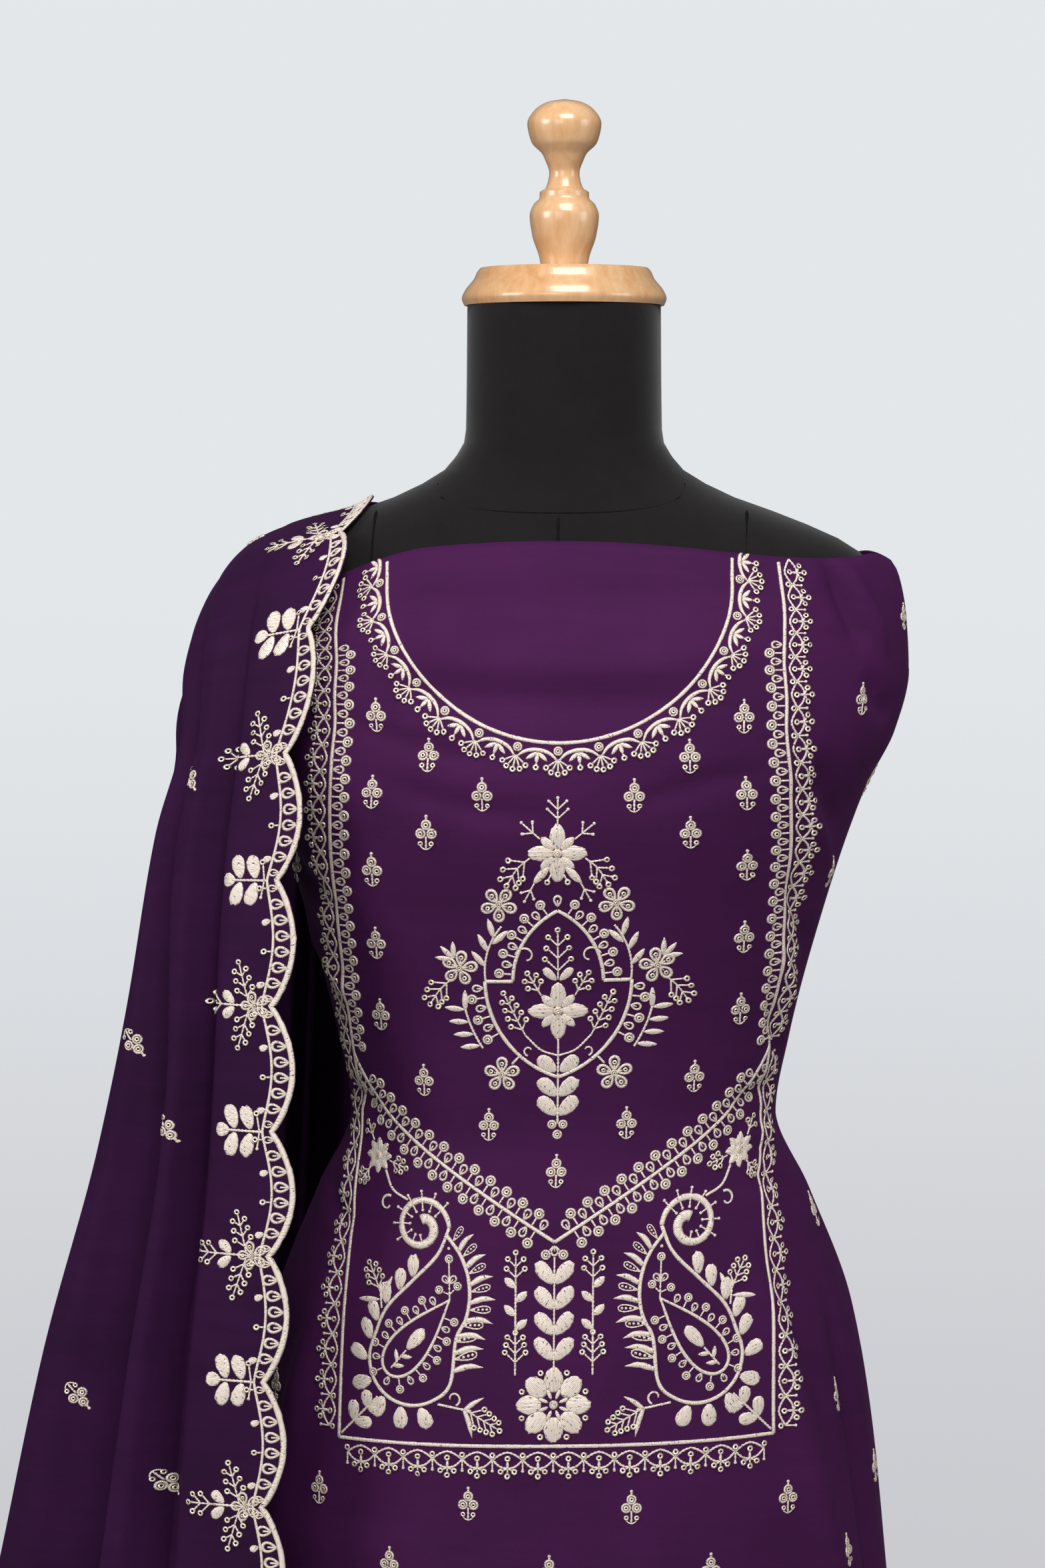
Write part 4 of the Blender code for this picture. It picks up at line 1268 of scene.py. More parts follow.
def yokeLines(hand):
    top, bottom, half = yoke["top"], yoke["bottom"], yoke["half"]
    corners = [(-half, top), (-half, bottom), (half, bottom), (half, top)]
    for start, end in zip(corners, corners[1:]):
        path = evenPath(np.array([complex(*start), complex(*end)]), 1.0)
        hand.cord(path)
        if start[1] == end[1]:
            lattice(hand, path, -1, first=6.1)
            continue
        # The side lines are worked closer above the panel than beside it
        turn = np.abs(path - complex(start[0], yoke["corner"])).argmin()
        lower, upper = (path[turn:], path[:turn]) if start[1] == top else (path[:turn], path[turn:])
        lattice(hand, lower, -1, first=4.0, deep=11.6)
        lattice(hand, upper, -1, 15.6, 11.0, 4.0)
    for side in (-1, 1):
        line = np.array([complex(side * half, yoke["combTop"]), complex(side * half, yoke["corner"])])
        comb(hand, evenPath(line, 1.0), -side)
        band = vPath(side)
        hand.cord(band)
        length = pathLength(band)[-1]
        for face in (-1, 1):
            comb(hand, band, face, 11.5, 12.0 if face == side else 20.0,
                 length - (8 if face == side else 9))
        tip = hand.at(0, 957, 180 + side * 42)
        tip.chain(np.array([1j, 4.4j]))
        tip.ring(0, 7.6)
    hand.loop(0, 957, 180, 0.9)


def outward(turn, reach, x=0.0, y=0.0):
    # The point at a reach from x, y, turned in degrees to the right of straight up
    return x + reach * sin(radians(turn)), y + reach * cos(radians(turn))


def spiral(x, y, first, last, start, sweep, power=1.0):
    share = np.linspace(0, 1, 60)
    turn = np.radians(start + sweep * share)
    return evenPath(complex(x, y) + (first + (last - first) * share ** power) * np.exp(1j * turn), 1.0)


def archPast(wide, high):
    # How far past a pointed arch's own middle the middle of its side's circle lies
    return (high ** 2 - wide ** 2) / (2 * wide)


def pointedArch(wide, high, middle, down=False):
    past = archPast(wide, high)
    tip = np.degrees(np.arccos(past / (past + wide)))
    if down:
        return arc(-past, middle, past + wide, 0, -tip)
    return arc(-past, middle, past + wide, tip, 0)


def teardrop(x, y, long, wide, turn, count=14):
    # From its tip round by the left
    share = np.linspace(0, 2 * pi, count, endpoint=False)
    shape = -wide * np.sin(share) * np.sin(share / 2) ** 1.3 + 1j * long * np.cos(share)
    shape = complex(x, y) + shape * np.exp(-1j * radians(turn))
    return curve(*[(spot.real, spot.imag) for spot in shape], closed=True)


ornament = {
    "middle": 1113.0, "archWide": 26.0, "archHigh": 42.0, "bowlWide": 42.0, "bowlDeep": 58.0,
    "ringReach": 57.0, "ringTurns": (36, 82), "lowReach": 65.0, "lowTurn": 150,
    "topFlower": 1189.0, "midFlower": 1095.0, "twigOut": 13.5, "leafPitch": 7.8,
}
mango = {
    "baseX": -84.0, "baseY": 890.0, "base": 27.0, "curlX": -80.0, "curlY": 966.0, "curl": 17.5,
    "backX": -96.0, "backY": 928.0, "back": 46.5, "dropX": -80.5, "dropY": 903.0, "dropLong": 29.0,
    "dropWide": 15.5, "dropTurn": 41.0, "petalPitch": 11.3, "horns": 8,
}


def medallion(hand):
    # A pointed arch on a deeper pointed bowl, with flowers, twigs and sprays set round its middle
    level, top, flowerLevel = ornament["middle"], ornament["topFlower"], ornament["midFlower"]
    for mirrored in (False, True):
        half = hand.at(0, 0, mirror=mirrored)
        frame = pointedArch(ornament["archWide"], ornament["archHigh"], level)
        lower = pointedArch(ornament["bowlWide"], ornament["bowlDeep"], level, down=True)
        shelf = np.array([complex(ornament["archWide"], level), complex(ornament["bowlWide"], level)])
        for line in (frame, evenPath(shelf, 1.0), lower):
            half.cord(line, 2.4, 0.75)
        comb(half, frame, 1, 10.4, 6.2, None, 0.98, ringFirst=True)
        comb(half, lower, 1, 11.4, 4.0, 34.0, 1.02)
        for turn in ornament["ringTurns"]:
            ringFlower(half.at(*outward(turn, ornament["ringReach"], 0, level)), turn=turn)
        lowX, lowY = outward(ornament["lowTurn"], ornament["lowReach"], 0, level)
        ringFlower(half.at(lowX, lowY))
        past = archPast(ornament["bowlWide"], ornament["bowlDeep"])
        way = complex(lowX + past, lowY - level)
        reach = np.array([past + ornament["bowlWide"] + 0.8, abs(way) - 8.5])
        half.chain(evenPath(complex(-past, level) + way / abs(way) * reach, 1.0), 1.5)
        # The twigs outside it: one with leaves both ways, one with its leaves held level
        twig = arc(0, level + 6, 42, -8, 40)
        leafyStem(half, twig, 9.0, 13.0, 4.0, 9.0, 44, (-1,))
        half.leaf(38, level + 22, 48, 13, 4.2)
        outer = arc(-past, level, past + ornament["bowlWide"] + ornament["twigOut"], -33, -13)
        half.chain(outer, 1.5)
        for index, (x, y, _) in enumerate(stops(outer, ornament["leafPitch"], 2.0)):
            half.leaf(x, y, -96 + 4 * index, 12.6, 3.8)
        x, y = outer[-1].real, outer[-1].imag
        half.leaf(x, y - 2, 0, 14, 4.0)
        x, y = outward(ornament["ringTurns"][1], ornament["ringReach"], 0, level)
        for lean in (-84, -44, -4):
            half.leaf(x + 3, y + 5, lean, 11.5, 3.4)
        spray(half.at(x + 5, y - 7, -125), 18, 3, 8.0, 5)
        # Round the top flower
        spray(half.at(*outward(50, 13, 0, top), -50), 13, 1, 6.2, end="knot")
        spray(half.at(*outward(100, 16, 0, top), -116), 18, 3, 8.6, 8)
        half.leaf(*outward(150, 8, 0, top), -138, 15, 5.2)
        spray(half.at(*outward(143, 22, 0, top), -152), 11, 1, 5.6, end="knot")
        stalk(half.at(*outward(164, 13, 0, top), -152), 4.0, "foil")
        # Inside the frame
        half.cord(spiral(18.5, level + 15, 6.0, 2.4, 10, 250), (1.6, 1.5, 1.3, 1.2), 0.7, 1.5)
        half.cord(spiral(17.0, level - 42, 3.2, 1.6, -80, 240), (1.4, 1.2, 1.0), 0.7, 1.5)
        half.petal(0.6, level, -45, 11.5, 5.4, grain=0)
        spray(half.at(*outward(46, 13.5, 0, flowerLevel), -30), 14, 2, 5.2)
        low = outward(128, 24, 0, flowerLevel)
        spray(half.at(*low, -28), 27, 4, 6.0, -1.0)
        half.chain(curve((0, level - 45), (10, level - 41.5), low), 1.3)
        half.petal(0.6, level - 55, -50, 15.0, 9.0, grain=0)
        for step in range(2):
            half.petal(0.2, level - 70 - 11.5 * step, -44, 16.4, 9.4, grain=0)
        half.ring(3.2, level - 86.5, 0.92)
    hand.chain(np.array([(level - 35) * 1j, (level - 86) * 1j]), 1.4)
    hand.loop(0, level + 44)
    spray(hand.at(0, top + 16), 15, 2, 8.2, end="knot")
    spray(hand.at(0, level + 1), 28, 3, 9.6)
    flower(hand.at(0, top))
    flower(hand.at(0, flowerLevel))
    hand.ring(0, level - 92.5, 0.95)


def mangoPaths():
    # The head is a spiral, from inside its curl. From the head's right side an S runs down to
    # the base's circle, and past that a wider circle leads back up to the head.
    head = spiral(mango["curlX"], mango["curlY"], 4.0, mango["curl"], 90, -450, 0.8)
    neckX = mango["curlX"] + mango["curl"]
    corners = []
    hip = outward(-60, mango["base"], mango["baseX"], mango["baseY"])
    for share in (0.0, 0.25, 0.5, 0.75):
        swing = share * share * (3 - 2 * share)
        corners.append((neckX + (hip[0] - neckX) * swing,
                        mango["curlY"] + (hip[1] - mango["curlY"]) * share))
    for turn in range(-60, -241, -30):
        corners.append(outward(turn, mango["base"], mango["baseX"], mango["baseY"]))
    for turn in range(124, 35, -16):
        corners.append(outward(turn, mango["back"], mango["backX"], mango["backY"]))
    return head, curve(*corners)


def paisley(hand):
    head, body = mangoPaths()
    hand.cord(head, (7.0, 6.0, 4.4, 4.2, 4.2, 4.0, 3.0), 1.1, 1.8)
    hand.cord(body, 2.5)
    middle, turn = (mango["dropX"], mango["dropY"]), mango["dropTurn"]
    drop = teardrop(*middle, mango["dropLong"], mango["dropWide"], turn)
    hand.cord(drop, (1.6, 2.2, 2.2, 2.2, 2.2, 1.6), 0.85)
    comb(hand, drop, -1, 11.6, 9.5, pathLength(drop)[-1] - 8, 0.88)
    # Its tip runs on as a sprig of rings and loops
    tipX, tipY = outward(turn, mango["dropLong"], *middle)
    sprig = hand.at(tipX, tipY - 1, 2)
    sprig.chain(np.array([0j, 24.0j]))
    for side in (-1, 1):
        sprig.loop(0, 10.0, side * 40, 0.84)
        small = sprig.at(0, 4.0, 10 + side * 56, 0.86)
        small.chain(np.array([0.6j, 4.6j]))
        small.ring(0, 8.0)
    sprig.ring(0, 24.5, 0.88)
    sprig.knot(0, 30.5)
    # One broad petal in the drop over a twig of narrow leaves, along its axis
    inner = hand.at(*outward(turn, -11, *middle), -turn)
    inner.petal(0, 0, 0, 17.5, 8.2)
    leafyStem(inner, np.linspace(-14j, 0j, 15), 7.2, 8.0, 3.0, 2.0, 50)
    # Padded petals round the outside of the body: the first of them stand upright
    outside = body[int(len(body) * 0.15):int(len(body) * 0.575)]
    length = pathLength(outside)[-1]
    for x, y, turn in stops(outside, mango["petalPitch"]):
        share = pathLength(outside[:np.argmin(np.abs(outside - complex(x, y))) + 1])[-1] / length
        lean = -46 + 60 * fade(share, 0.46, 0.78)
        hand.at(x, y, turn - 180).petal(0, 1.0, lean, 14.2, 8.0 + 1.8 * fade(share, 0.3, 0.8))
    # Horns on its back, each with a long loop of chain round a row of knots
    back = body[int(len(body) * 0.66):int(len(body) * 0.97)]
    length = pathLength(back)[-1]
    for place, (x, y, turn) in enumerate(stops(back, (length - 6) / (mango["horns"] - 1), 3.0)):
        out = hand.at(x, y, turn - 180)
        size = 1.08 - 0.04 * place
        horn(out.at(0, 0.6, -4), 15.5 * size, -4.6 * size, 3.6 + 0.5 * size)
        twist = out.at(-5.8, 0.8, 22, 1.22 * size)
        twist.chain(teardrop(-0.7, 5.2, 5.2, 2.4, 180, 10), 0.8)
        for reach in (2.0, 4.2, 6.4, 8.4):
            twist.knot(-0.7, reach, 1.6)
    for index, (x, y, turn) in enumerate(stops(head, 7.0, 24.0, pathLength(head)[-1] - 9)):
        stalk(hand.at(x, y, turn - 180), 5.6)
        if index > 1:
            stalk(hand.at(x, y, turn + 4), 5.0)


def panel(hand):
    corner = (-yoke["half"], yoke["bottom"])
    for side in (False, True):
        half = hand.at(0, 0, mirror=side)
        paisley(half)
        # A small flower under the band, and the stem from it to the mango's head
        x = 18 - yoke["half"]
        y = float(bandLevel(x)) - 33
        flower(half.at(x, y), 10.5, 8, 4.8, 2.4, 0.7)
        for turn, long, pairs in ((105, 11, 2), (-30, 10, 1), (-140, 10, 2)):
            spray(half.at(*outward(turn, 9, x, y), -turn), long, pairs, 4.2)
        head = outward(-32, mango["curl"], mango["curlX"], mango["curlY"])
        near = outward(140, 10, x, y)
        bow = ((near[0] + head[0]) / 2 - 2.5, (near[1] + head[1]) / 2 - 2.5)
        half.cord(curve(near, bow, head), 1.8, 0.8)
        half.cord(spiral(head[0] - 14, head[1] - 3, 5.0, 2.0, 60, 270), (1.8, 1.5, 1.2), 0.8, 1.6)
        # The sprig over the body
        sprig = half.at(-104, 918, 8)
        sprig.chain(np.array([0j, 14.0j]), 1.4)
        for lean, long in ((-34, 16), (84, 16)):
            sprig.leaf(0, 5, lean, long, 3.6)
        spray(sprig.at(0, 9, 16), 17, 3, 6.2, -1)
        # Two pairs of leaves on a stem along the corner's diagonal
        stem = half.at(corner[0] + 1.5, corner[1] + 2.5, -45)
        stem.chain(np.array([0j, 33.0j]), 1.6)
        for reach, long in ((11.0, 13.0), (23.0, 11.0)):
            for way in (-1, 1):
                stem.petal(0, reach, way * 45, long, 8.0)
        # The curled foot
        half.chain(np.linspace(-68 + 864.5j, -48 + 861j, 21), 1.6)
        half.cord(spiral(-58.5, 868.0, 4.2, 2.2, -70, 260), (1.6, 1.4, 1.2), 0.7, 1.5)
        foot = half.at(-52, 861.5)
        horn(foot.at(0, 0, -170), 16.5, -1.6, 3.4)
        horn(foot.at(0, 0, -64), 13.5, -1.6, 3.2)
        spray(foot.at(1, 0, -120), 21, 4, 7.8)
        # The tall sprig beside the middle stem
        tall = half.at(-22.5, 0)
        tall.chain(np.array([882j, 936j]), 1.4)
        spray(tall.at(0, 934), 17, 2, 6.6)
        for index in range(4):
            tall.petal(0, 932 - 8 * index, -46 if index % 2 else 46, 9.5, 5.2, grain=0, shape=leafPad)
        spray(tall.at(0, 886), 19, 3, 7.6)
        for step in range(4):
            half.petal(0.1, 934 - 14.6 * step, -38, 17.4, 9.2, grain=0)
    hand.chain(np.array([950j, 884j]), 1.3)
    for turn in range(8):
        spoke = hand.at(0, 865, 45 * turn + 22.5)
        spoke.sequin(0, 20, needle["sequin"])
    flower(hand.at(0, 865), 22.5, 8, 11.6, 2.2, 0.44, 0.28)


fieldButtis = {
    "across": 95.0, "shift": -2.0, "belowPanel": 806.0, "rowsBelow": 38.0, "rowsAbove": 52.0,
    "lowest": 385.0, "frontTop": 1330.0, "backTop": 1325.0,
    "dupattaAcross": 88.0, "dupattaRows": 208.0, "dupattaFirst": ((172.0, 63.0), (218.0, 118.0)),
    "dupattaEdge": 14.0, "dupattaNearest": 92.0,
}
# Sprigs round the medallion stand in columns, each half a step along from the next, and two
# more a side follow the band
SprigColumn = namedtuple("SprigColumn", "across start count")
yokeSprigs = {
    "first": 1266.0, "step": 44.0, "overBand": 42.0, "bandColumns": (40.0, 79.0),
    "columns": (SprigColumn(105.0, 0.0, 5), SprigColumn(74.0, 0.5, 2), SprigColumn(43.0, 1.0, 1)),
}


def yokeSpots():
    spots = [(x, float(bandLevel(x)) + yokeSprigs["overBand"]) for x in yokeSprigs["bandColumns"]]
    for column in yokeSprigs["columns"]:
        spots += [(column.across, yokeSprigs["first"] - (column.start + row) * yokeSprigs["step"])
                  for row in range(column.count)]
    return spots


def sprinkle(hand, edgeAt, top, inPanel=None):
    # Sprigs in rows, each row half a step along from the one below it
    start, across = fieldButtis["belowPanel"], fieldButtis["across"]
    levels = [*np.arange(start, fieldButtis["lowest"], -fieldButtis["rowsBelow"])[::-1],
              *np.arange(start + fieldButtis["rowsAbove"], top, fieldButtis["rowsAbove"])]
    even = round((start - levels[0]) / fieldButtis["rowsBelow"]) % 2
    for row, level in enumerate(levels):
        for column in range(-4, 5):
            x = (column + (0.5 if row % 2 == even else 0.0)) * across + fieldButtis["shift"]
            if abs(x) < edgeAt(level) - 14 and not (inPanel and inPanel(x, level)):
                butti(hand.at(x, level))


def clothFace(points, start, step, halfWall):
    # A cloth's outer face, read by its flat measures in millimetres
    flat = flatMeasures(points)
    spread = np.arange(-300, 300.1, 2.0)
    rows = np.stack([np.column_stack([np.interp(spread / 1000, flat[row, :, 0], points[row, :, axis])
                                      for axis in range(3)]) for row in range(len(points))])

    def look(across, level):
        i = np.clip((level - start) / step, 0, len(rows) - 1.001)
        j = np.clip((across - spread[0]) / 2.0, 0, len(spread) - 1.001)
        row, column = i.astype(int), j.astype(int)
        s, t = (i - row)[:, None], (j - column)[:, None]
        return ((rows[row, column] * (1 - t) + rows[row, column + 1] * t) * (1 - s)
                + (rows[row + 1, column] * (1 - t) + rows[row + 1, column + 1] * t) * s)

    def face(across, level, off):
        normal = np.cross(look(across + 1.5, level) - look(across - 1.5, level),
                          look(across, level + 1.5) - look(across, level - 1.5))
        normal /= np.linalg.norm(normal, axis=1, keepdims=True)
        return look(across, level) + normal * ((off - needle["sunk"]) / 1000 + halfWall)[:, None]

    def edge(level):
        row = int(np.clip((level - start) / step, 0, len(rows) - 1))
        return float(np.ptp(flat[row, :, 0])) * 500

    return face, edge


def sewOn(name, parts, face, material, slot, smooth=True):
    # One mesh of all the parts, laid on the cloth
    counts = np.cumsum([0] + [len(part.points) for part in parts])
    points = np.vstack([part.points for part in parts])
    loops = np.concatenate([part.loops + start for part, start in zip(parts, counts)])
    sizes = np.concatenate([part.sizes for part in parts])
    mesh = bpy.data.meshes.new(name)
    mesh.vertices.add(len(points))
    mesh.vertices.foreach_set("co", face(*points.T).astype(np.float32).ravel())
    mesh.loops.add(len(loops))
    mesh.loops.foreach_set("vertex_index", loops.astype(np.int32))
    mesh.polygons.add(len(sizes))
    mesh.polygons.foreach_set("loop_start", (np.cumsum(sizes) - sizes).astype(np.int32))
    mesh.update(calc_edges=True)
    uvs = mesh.uv_layers.new(name="threads")
    threads = np.vstack([part.threads for part in parts]) / 1000
    uvs.data.foreach_set("uv", threads.astype(np.float32).ravel())
    piece = bpy.data.objects.new(name, mesh)
    bpy.context.scene.collection.objects.link(piece)
    deselectAll()
    bpy.context.view_layer.objects.active = piece
    piece.select_set(True)
    bpy.ops.object.mode_set(mode="EDIT")
    bpy.ops.mesh.select_all(action="SELECT")
    bpy.ops.mesh.normals_make_consistent(inside=False)
    bpy.ops.object.mode_set(mode="OBJECT")
    if smooth:
        bpy.ops.object.shade_smooth()
    print("sewn", name, int((sizes - 2).sum()), "triangles")
    return finishPiece(piece, material, slot)


def newDrawing():
    return {"thread": [], "foil": []}


kameezRows = kameez["hem"] * 1000, kameez["rowStep"] * 1000, kameez["wall"] / 2
frontFace, frontEdge = clothFace(frontPoints, *kameezRows)
backFace, backEdge = clothFace(backPoints, *kameezRows)


def yokeFace(across, level, off):
    return frontFace(*yokeToCloth(across, level), off)


def sewKameez():
    drawing = newDrawing()
    hand = Hand(drawing)
    for name, work in (("neck", neckVine), ("border", yokeLines), ("medallion", medallion),
                       ("panel", panel)):
        work(hand)
        sewOn("kameez_" + name + "_thread", drawing["thread"], yokeFace, zari, "zari_thread")
        drawing["thread"] = []
    for side in (-1, 1):
        for x, y in yokeSpots():
            butti(hand.at(side * x, y))
    butti(hand.at(0, 999))
    sewOn("kameez_yoke_butti_thread", drawing["thread"], yokeFace, zari, "zari_thread")
    sewOn("kameez_yoke_sequins", drawing["foil"], yokeFace, foilGold, "sequins", False)
    for name, face, edge, top, inPanel in (
            ("front", frontFace, frontEdge, fieldButtis["frontTop"],
             lambda x, y: abs(x) < 158 and y > yoke["bottom"] - 34),
            ("back", backFace, backEdge, fieldButtis["backTop"], None)):
        drawing = newDrawing()
        sprinkle(Hand(drawing), edge, top, inPanel)
        sewOn("kameez_" + name + "_butti_thread", drawing["thread"], face, zari, "zari_thread")
        sewOn("kameez_" + name + "_butti_sequins", drawing["foil"], face, foilGold, "sequins", False)


def dupattaFace(along, reach, off):
    along, reach = along / 1000, reach / 1000
    step = 0.0015
    normal = np.cross(dupattaPoint(along + step, reach) - dupattaPoint(along - step, reach),
                      dupattaPoint(along, reach + step) - dupattaPoint(along, reach - step))
    normal /= np.linalg.norm(normal, axis=1, keepdims=True)
    return (dupattaPoint(along, reach)
            + normal * ((off - needle["sunk"]) / 1000 + dupatta["wall"] / 2)[:, None])


def dupattaEdge(step=1.0, inwards=0.0, first=1.0, last=None):
    last = dupatta["scallops"] * dupatta["pitch"] * 1000 - 1.0 if last is None else last
    along = np.arange(first, last, step)
    return along + 1j * (inwards - scallop(along / 1000) * 1000)


def ropeReach(along):
    pitch, deep = dupatta["pitch"] * 1000, dupatta["scallopDepth"] * 1000
    return 6.5 - (deep - 7.2) * np.abs(np.sin(pi * along / pitch)) ** 1.2


def borderVine(hand, length):
    # The edge's cord, and a rope that follows it nearer at the notches than at the bulges
    hand.cord(dupattaEdge(inwards=2.0), 3.7, 0.9, 3.0)
    pitch = dupatta["pitch"] * 1000
    along = np.arange(1.0, length - 1.0, 1.0)
    hand.cord(along + 1j * ropeReach(along), 1.7, 0.8, 3.0)
    for index in range(dupatta["scallops"]):
        for step in range(8):
            x = (index + (step + 0.5) / 8) * pitch
            edge = -scallop(x / 1000) * 1000 + 3.6
            room = ropeReach(x) - edge
            hand.loop(x, edge - 0.6, 0, min(1.3, room / 6.4))
            y = ropeReach(x) + 0.8
            if step in (1, 5):
                hand.petal(x, y, 25, 5.6, 4.2)
            elif step in (3, 7):
                stalk(hand.at(x, y), 3.0, "foil")


def notchLeaves(hand):
    # A stem with two pairs of leaves across it and one at its end
    hand.chain(np.array([6.0j, 28.0j]), 1.6)
    for level in (13.0, 22.5):
        for side in (-1, 1):
            hand.petal(side * 0.4, level, -side * 74, 15.5, 9.0, grain=0)
    hand.petal(0, 25.6, 0, 9.6, 9.0)
    for side in (-1, 1):
        stalk(hand.at(0, 8, -side * 82), 10.0, "foil" if side > 0 else "knot")


def notchFlower(hand):
    # A ring flower with three sprays that open round it; the outer one starts between two buds
    ringFlower(hand.at(0, 10.5), 8.6)
    for side in (-1, 1):
        spray(hand.at(side * 1.0, 14, -side * 74), 23, 3, 6.0)
        hand.petal(side * 0.8, 23, -side * 42, 10.5, 6.4, grain=0)
    hand.chain(np.array([14j, 30j]), 1.5)
    spray(hand.at(0, 28), 15, 2, 7.0)


def sewDupatta():
    length = dupatta["scallops"] * dupatta["pitch"] * 1000
    pitch = dupatta["pitch"] * 1000
    drawing = newDrawing()
    hand = Hand(drawing)
    borderVine(hand, length)
    sewOn("dupatta_border_thread", drawing["thread"], dupattaFace, zari, "zari_thread")
    drawing["thread"] = []
    for notch in range(1, dupatta["scallops"]):
        work = notchLeaves if notch % 2 else notchFlower
        work(hand.at(notch * pitch, 0))
    for end, turn in ((3.0, -90), (length - 3.0, 90)):
        wide = float(np.linalg.norm(dupattaSections(np.array([end / 1000]))[1])) * 1000
        # The hem's cord and its row of loops
        hand.cord(np.array([end + 4j, end + (wide - 10) * 1j]), 3.2, 0.9, 3.0)
        for place in np.arange(14, wide - 14, 8.0):
            hand.loop(end + (1.5 if turn < 0 else -1.5), place, turn)
    # Every second column starts lower, since the folds hide the cloth between the columns
    for first, reach in fieldButtis["dupattaFirst"]:
        for x in np.arange(first, length - 30, fieldButtis["dupattaRows"]):
            local = float(np.linalg.norm(dupattaSections(np.array([x / 1000]))[1])) * 1000
            last = local - fieldButtis["dupattaEdge"]
            start = min(reach, max(last, fieldButtis["dupattaNearest"])) if reach > 100 else reach
            for y in np.arange(start, last + 0.1, fieldButtis["dupattaAcross"]):
                butti(hand.at(x, y, 130))
    sewOn("dupatta_motif_thread", drawing["thread"], dupattaFace, zari, "zari_thread")
    sewOn("dupatta_sequins", drawing["foil"], dupattaFace, foilGold, "sequins", False)


def sewForm():
    # The jersey's seams stand up a little: round the neck, down the middle and over the bust
    drawing, bust = newDrawing(), []
    turns = np.linspace(-1800, 1800, 181)
    rise = 0.5 - 0.5 * np.cos(np.radians(turns / 10))
    deeper = (seams["neckSides"] - seams["neckFront"]) * np.minimum(1, 2.2 * rise)
    neck = 1000 * (seams["neckFront"] + deeper)
    ups = np.linspace(750, 1376, 140)
    paths = [turns + 1j * neck, 1j * ups, 1800 + 1j * np.linspace(750, 1395, 140)]
    # The seams over the bust keep one distance from the middle, right up to the shoulders
    turn = np.linspace(0, 900, 181)
    for level in np.linspace(1150, 1400, 126):
        reach = formFace(turn, np.full(turn.shape, level), 0.0)[:, 0]
        if reach[-1] > seams["princess"]:
            bust.append(np.interp(seams["princess"], reach, turn) + 1j * level)
    for side in (-1, 1):
        paths.append(side * np.real(bust) + 1j * np.imag(bust))
    for path in paths:
        seam(drawing, path)
    # The seams take the matt, darker seam material: painted shade along each seam
    sewOn("form_seams", drawing["thread"], formFace, jerseySeamShaded, "form_jersey", False)


def seam(drawing, path):
    # A turn in tenths of a degree is about a fifth of a millimetre here
    half = seams["wide"] / 2
    step = np.gradient(path)
    steep = np.abs(step.imag) / (np.abs(step.real) * 0.2 + np.abs(step.imag) + 1e-9)
    side = 1j * half * (1 - steep) + half * 5 * steep
    rows = len(path)
    points = np.empty((rows, 3, 3))
    for column, (reach, rise) in enumerate(((-1, 0), (0, 1), (1, 0))):
        spot = path + side * reach
        points[:, column] = np.column_stack([spot.real, spot.imag, np.full(rows, seams["high"] * rise)])
    row, column = np.meshgrid(np.arange(rows - 1), np.arange(3), indexing="ij")
    quads = np.stack([row * 3 + column, row * 3 + (column + 1) % 3, (row + 1) * 3 + (column + 1) % 3,
                      (row + 1) * 3 + column], axis=-1).reshape(-1, 4)
    ends = np.array([2, 1, 0, rows * 3 - 3, rows * 3 - 2, rows * 3 - 1])
    loops = np.concatenate([quads.ravel(), ends])
    sizes = np.array([4] * len(quads) + [3, 3])
    drawing["thread"].append(Part(points.reshape(-1, 3), loops, sizes, np.zeros((len(loops), 2))))


def cuffFace(side):
    # Across is the share of the way round a leg, in thousandths
    def face(across, level, off):
        low = np.full(across.shape, salwar["bottom"])
        spot = salwarPoint(side, across / 1000, low)
        ahead = (salwarPoint(side, across / 1000 + 0.004, low)
                 - salwarPoint(side, across / 1000 - 0.004, low))
        normal = np.cross(ahead, (0, 0, 1.0)) * -side
        normal /= np.linalg.norm(normal, axis=1, keepdims=True)
        spot[:, 2] = level / 1000
        return spot + normal * (off / 1000 + salwar["wall"] / 2 + 0.0001)[:, None]
    return face


def sewHems():
    # Four rows of machine stitching round each cuff, and one along each turned hem and slit
    for name, side in (("left", 1), ("right", -1)):
        drawing = newDrawing()
        for level in np.linspace(salwar["cuffBottom"] * 1000 + 6, salwar["bottom"] * 1000 - 6, 4):
            Hand(drawing).cord(np.array([-990 + level * 1j, 990 + level * 1j]), 0.9, 0.35, 12)
        sewOn("salwar_cuff_stitches_" + name, drawing["thread"], cuffFace(side), salwarCloth,
              "salwar_cloth")
    for name, face, edge in (("front", frontFace, frontEdge), ("back", backFace, backEdge)):
        drawing = newDrawing()
        hem = kameez["hem"] * 1000 + 9
        levels = np.arange(hem, 1290, 6.0)
        side = np.array([edge(level) - 8 for level in levels]) + 1j * levels
        foot = np.array([-side[0].real + hem * 1j, side[0].real + hem * 1j])
        for path in (foot, side, -np.conj(side)):
            Hand(drawing).cord(path, 0.9, 0.35, 4)
        sewOn("kameez_hem_stitches_" + name, drawing["thread"], face, georgette, "georgette")


sewForm()
sewHems()
sewKameez()
sewDupatta()
print("needlework sewn on")

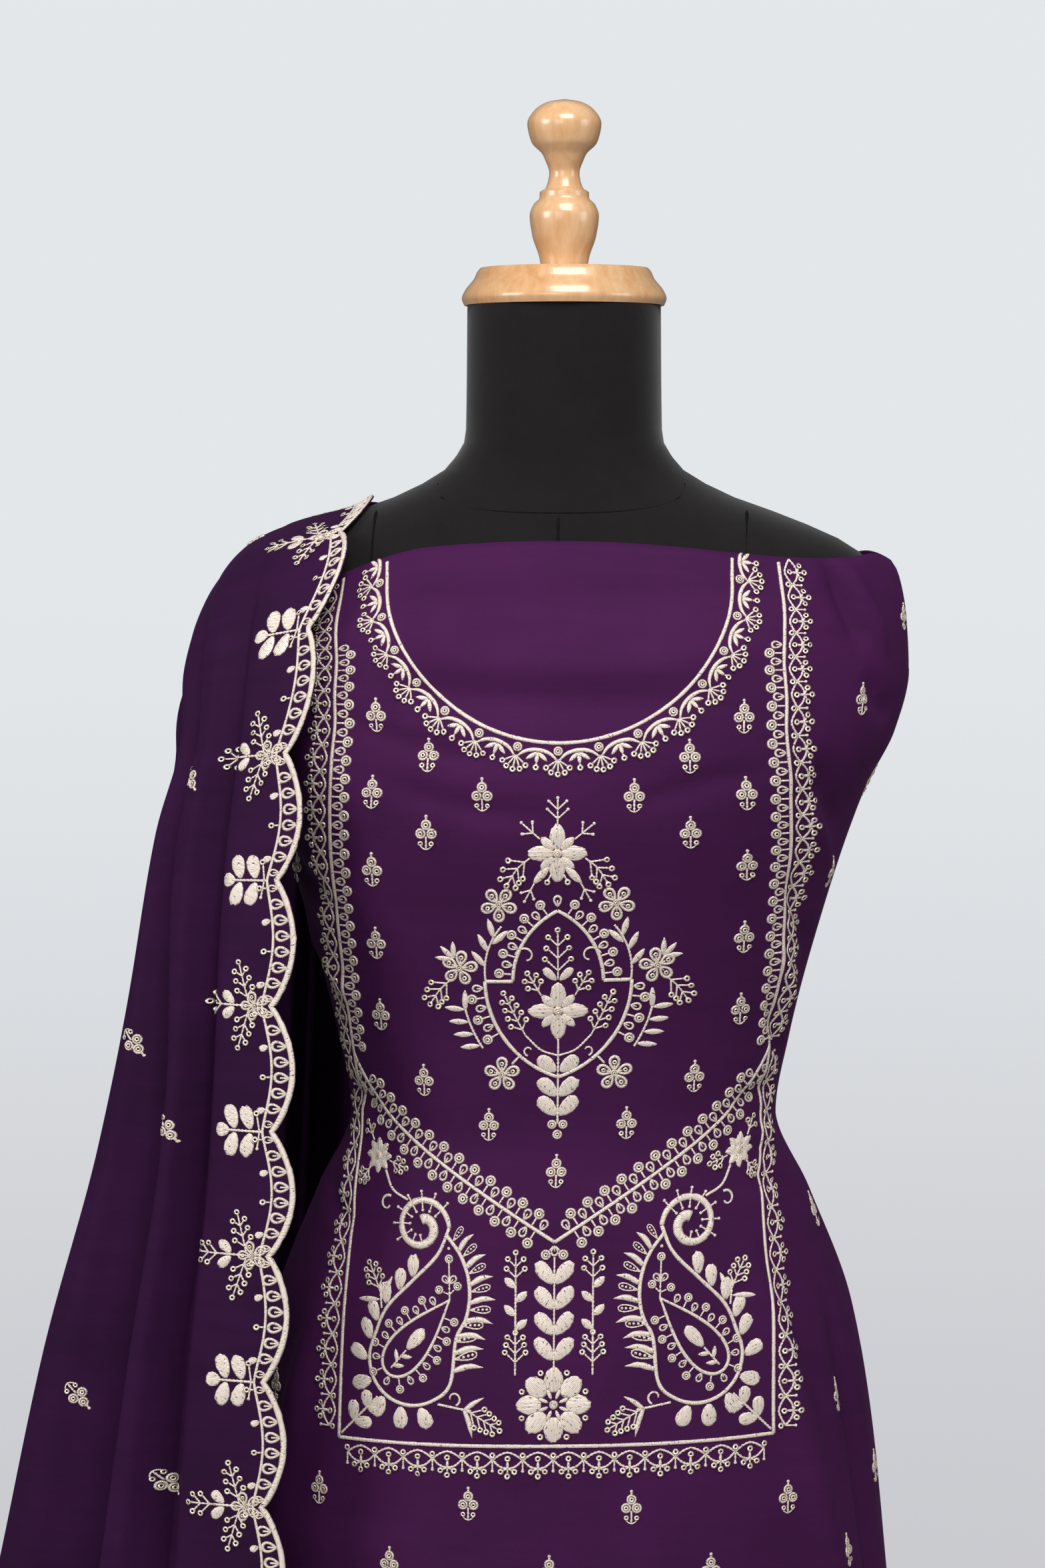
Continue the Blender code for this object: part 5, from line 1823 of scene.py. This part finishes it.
studio = {
    # The low wall colour is painted shade: the wall is drawn darker towards the floor
    "wall": "#E3E7EA", "wallShadedLow": "#C9C9CE", "wallShadeLevels": (-0.34, -0.02), "around": 0.19,
    "floorLight": "#E0E1E0", "floorDark": "#D6D7D7", "floorSize": 4.2,
}
Lamp = namedtuple("Lamp", "name watts size place aim")
lamps = [
    Lamp("left_softbox", 34, 1.1, (-2.2, -1.4, 1.95), (0, 0, 1.2)),
    Lamp("right_softbox", 15, 1.2, (2.4, -0.9, 1.8), (0, 0, 1.1)),
    Lamp("top_softbox", 27, 0.9, (0.2, -1.0, 2.6), (0, 0, 1.3)),
    Lamp("front_softbox", 18, 1.3, (-0.6, -2.7, 1.85), (0, 0, 1.15)),
]


def makeFloor():
    deselectAll()
    bpy.ops.mesh.primitive_plane_add(size=studio["floorSize"], location=(0, 0, 0))
    floor = bpy.context.object
    floor.name = floor.data.name = "floor"
    material, tree, shader = startMaterial("painted_floor", studio["floorLight"], 0.8)
    place = addNode(tree, "ShaderNodeTexCoord")
    specks = addNode(tree, "ShaderNodeTexNoise", {"Vector": place.outputs["Object"], "Scale": 3.0})
    colour = addNode(tree, "ShaderNodeMix", {"Factor": specks.outputs[0], "A": toLinear(studio["floorDark"]),
                     "B": toLinear(studio["floorLight"])}, data_type="RGBA")
    tree.links.new(colour.outputs["Result"], shader.inputs["Base Color"])
    floor.data.materials.append(material)


def makeSurroundings():
    # A pale wall all round, painted darker low down as the wall's shade, which lights less than it shows
    world = bpy.data.worlds.new("studio_wall")
    world.use_nodes = True
    tree = world.node_tree
    back = tree.nodes["Background"]
    way = addNode(tree, "ShaderNodeSeparateXYZ", {0: addNode(tree, "ShaderNodeTexCoord").outputs["Generated"]})
    level = addNode(tree, "ShaderNodeMapRange", {"Value": way.outputs[2], "From Min": studio["wallShadeLevels"][0],
                    "From Max": studio["wallShadeLevels"][1]}, interpolation_type="SMOOTHSTEP")
    colour = addNode(tree, "ShaderNodeMix", {"Factor": level.outputs[0], "A": toLinear(studio["wallShadedLow"]),
                     "B": toLinear(studio["wall"])}, data_type="RGBA")
    seen = addNode(tree, "ShaderNodeMapRange", {"Value": addNode(tree, "ShaderNodeLightPath").outputs["Is Camera Ray"],
                   "To Min": studio["around"], "To Max": 1.0})
    tree.links.new(colour.outputs["Result"], back.inputs["Color"])
    tree.links.new(seen.outputs[0], back.inputs["Strength"])
    bpy.context.scene.world = world


def makeLamps():
    for lamp in lamps:
        data = bpy.data.lights.new(lamp.name, "AREA")
        data.energy, data.size = lamp.watts, lamp.size
        light = bpy.data.objects.new(lamp.name, data)
        bpy.context.scene.collection.objects.link(light)
        light.location = lamp.place
        aimed = np.subtract(lamp.aim, lamp.place)
        light.rotation_euler = (np.arctan2(hypot(aimed[0], aimed[1]), -aimed[2]), 0,
                                np.arctan2(aimed[1], aimed[0]) - pi / 2)


makeFloor()
makeSurroundings()
makeLamps()
bpy.context.scene.view_settings.view_transform = "Standard"
print("studio made")
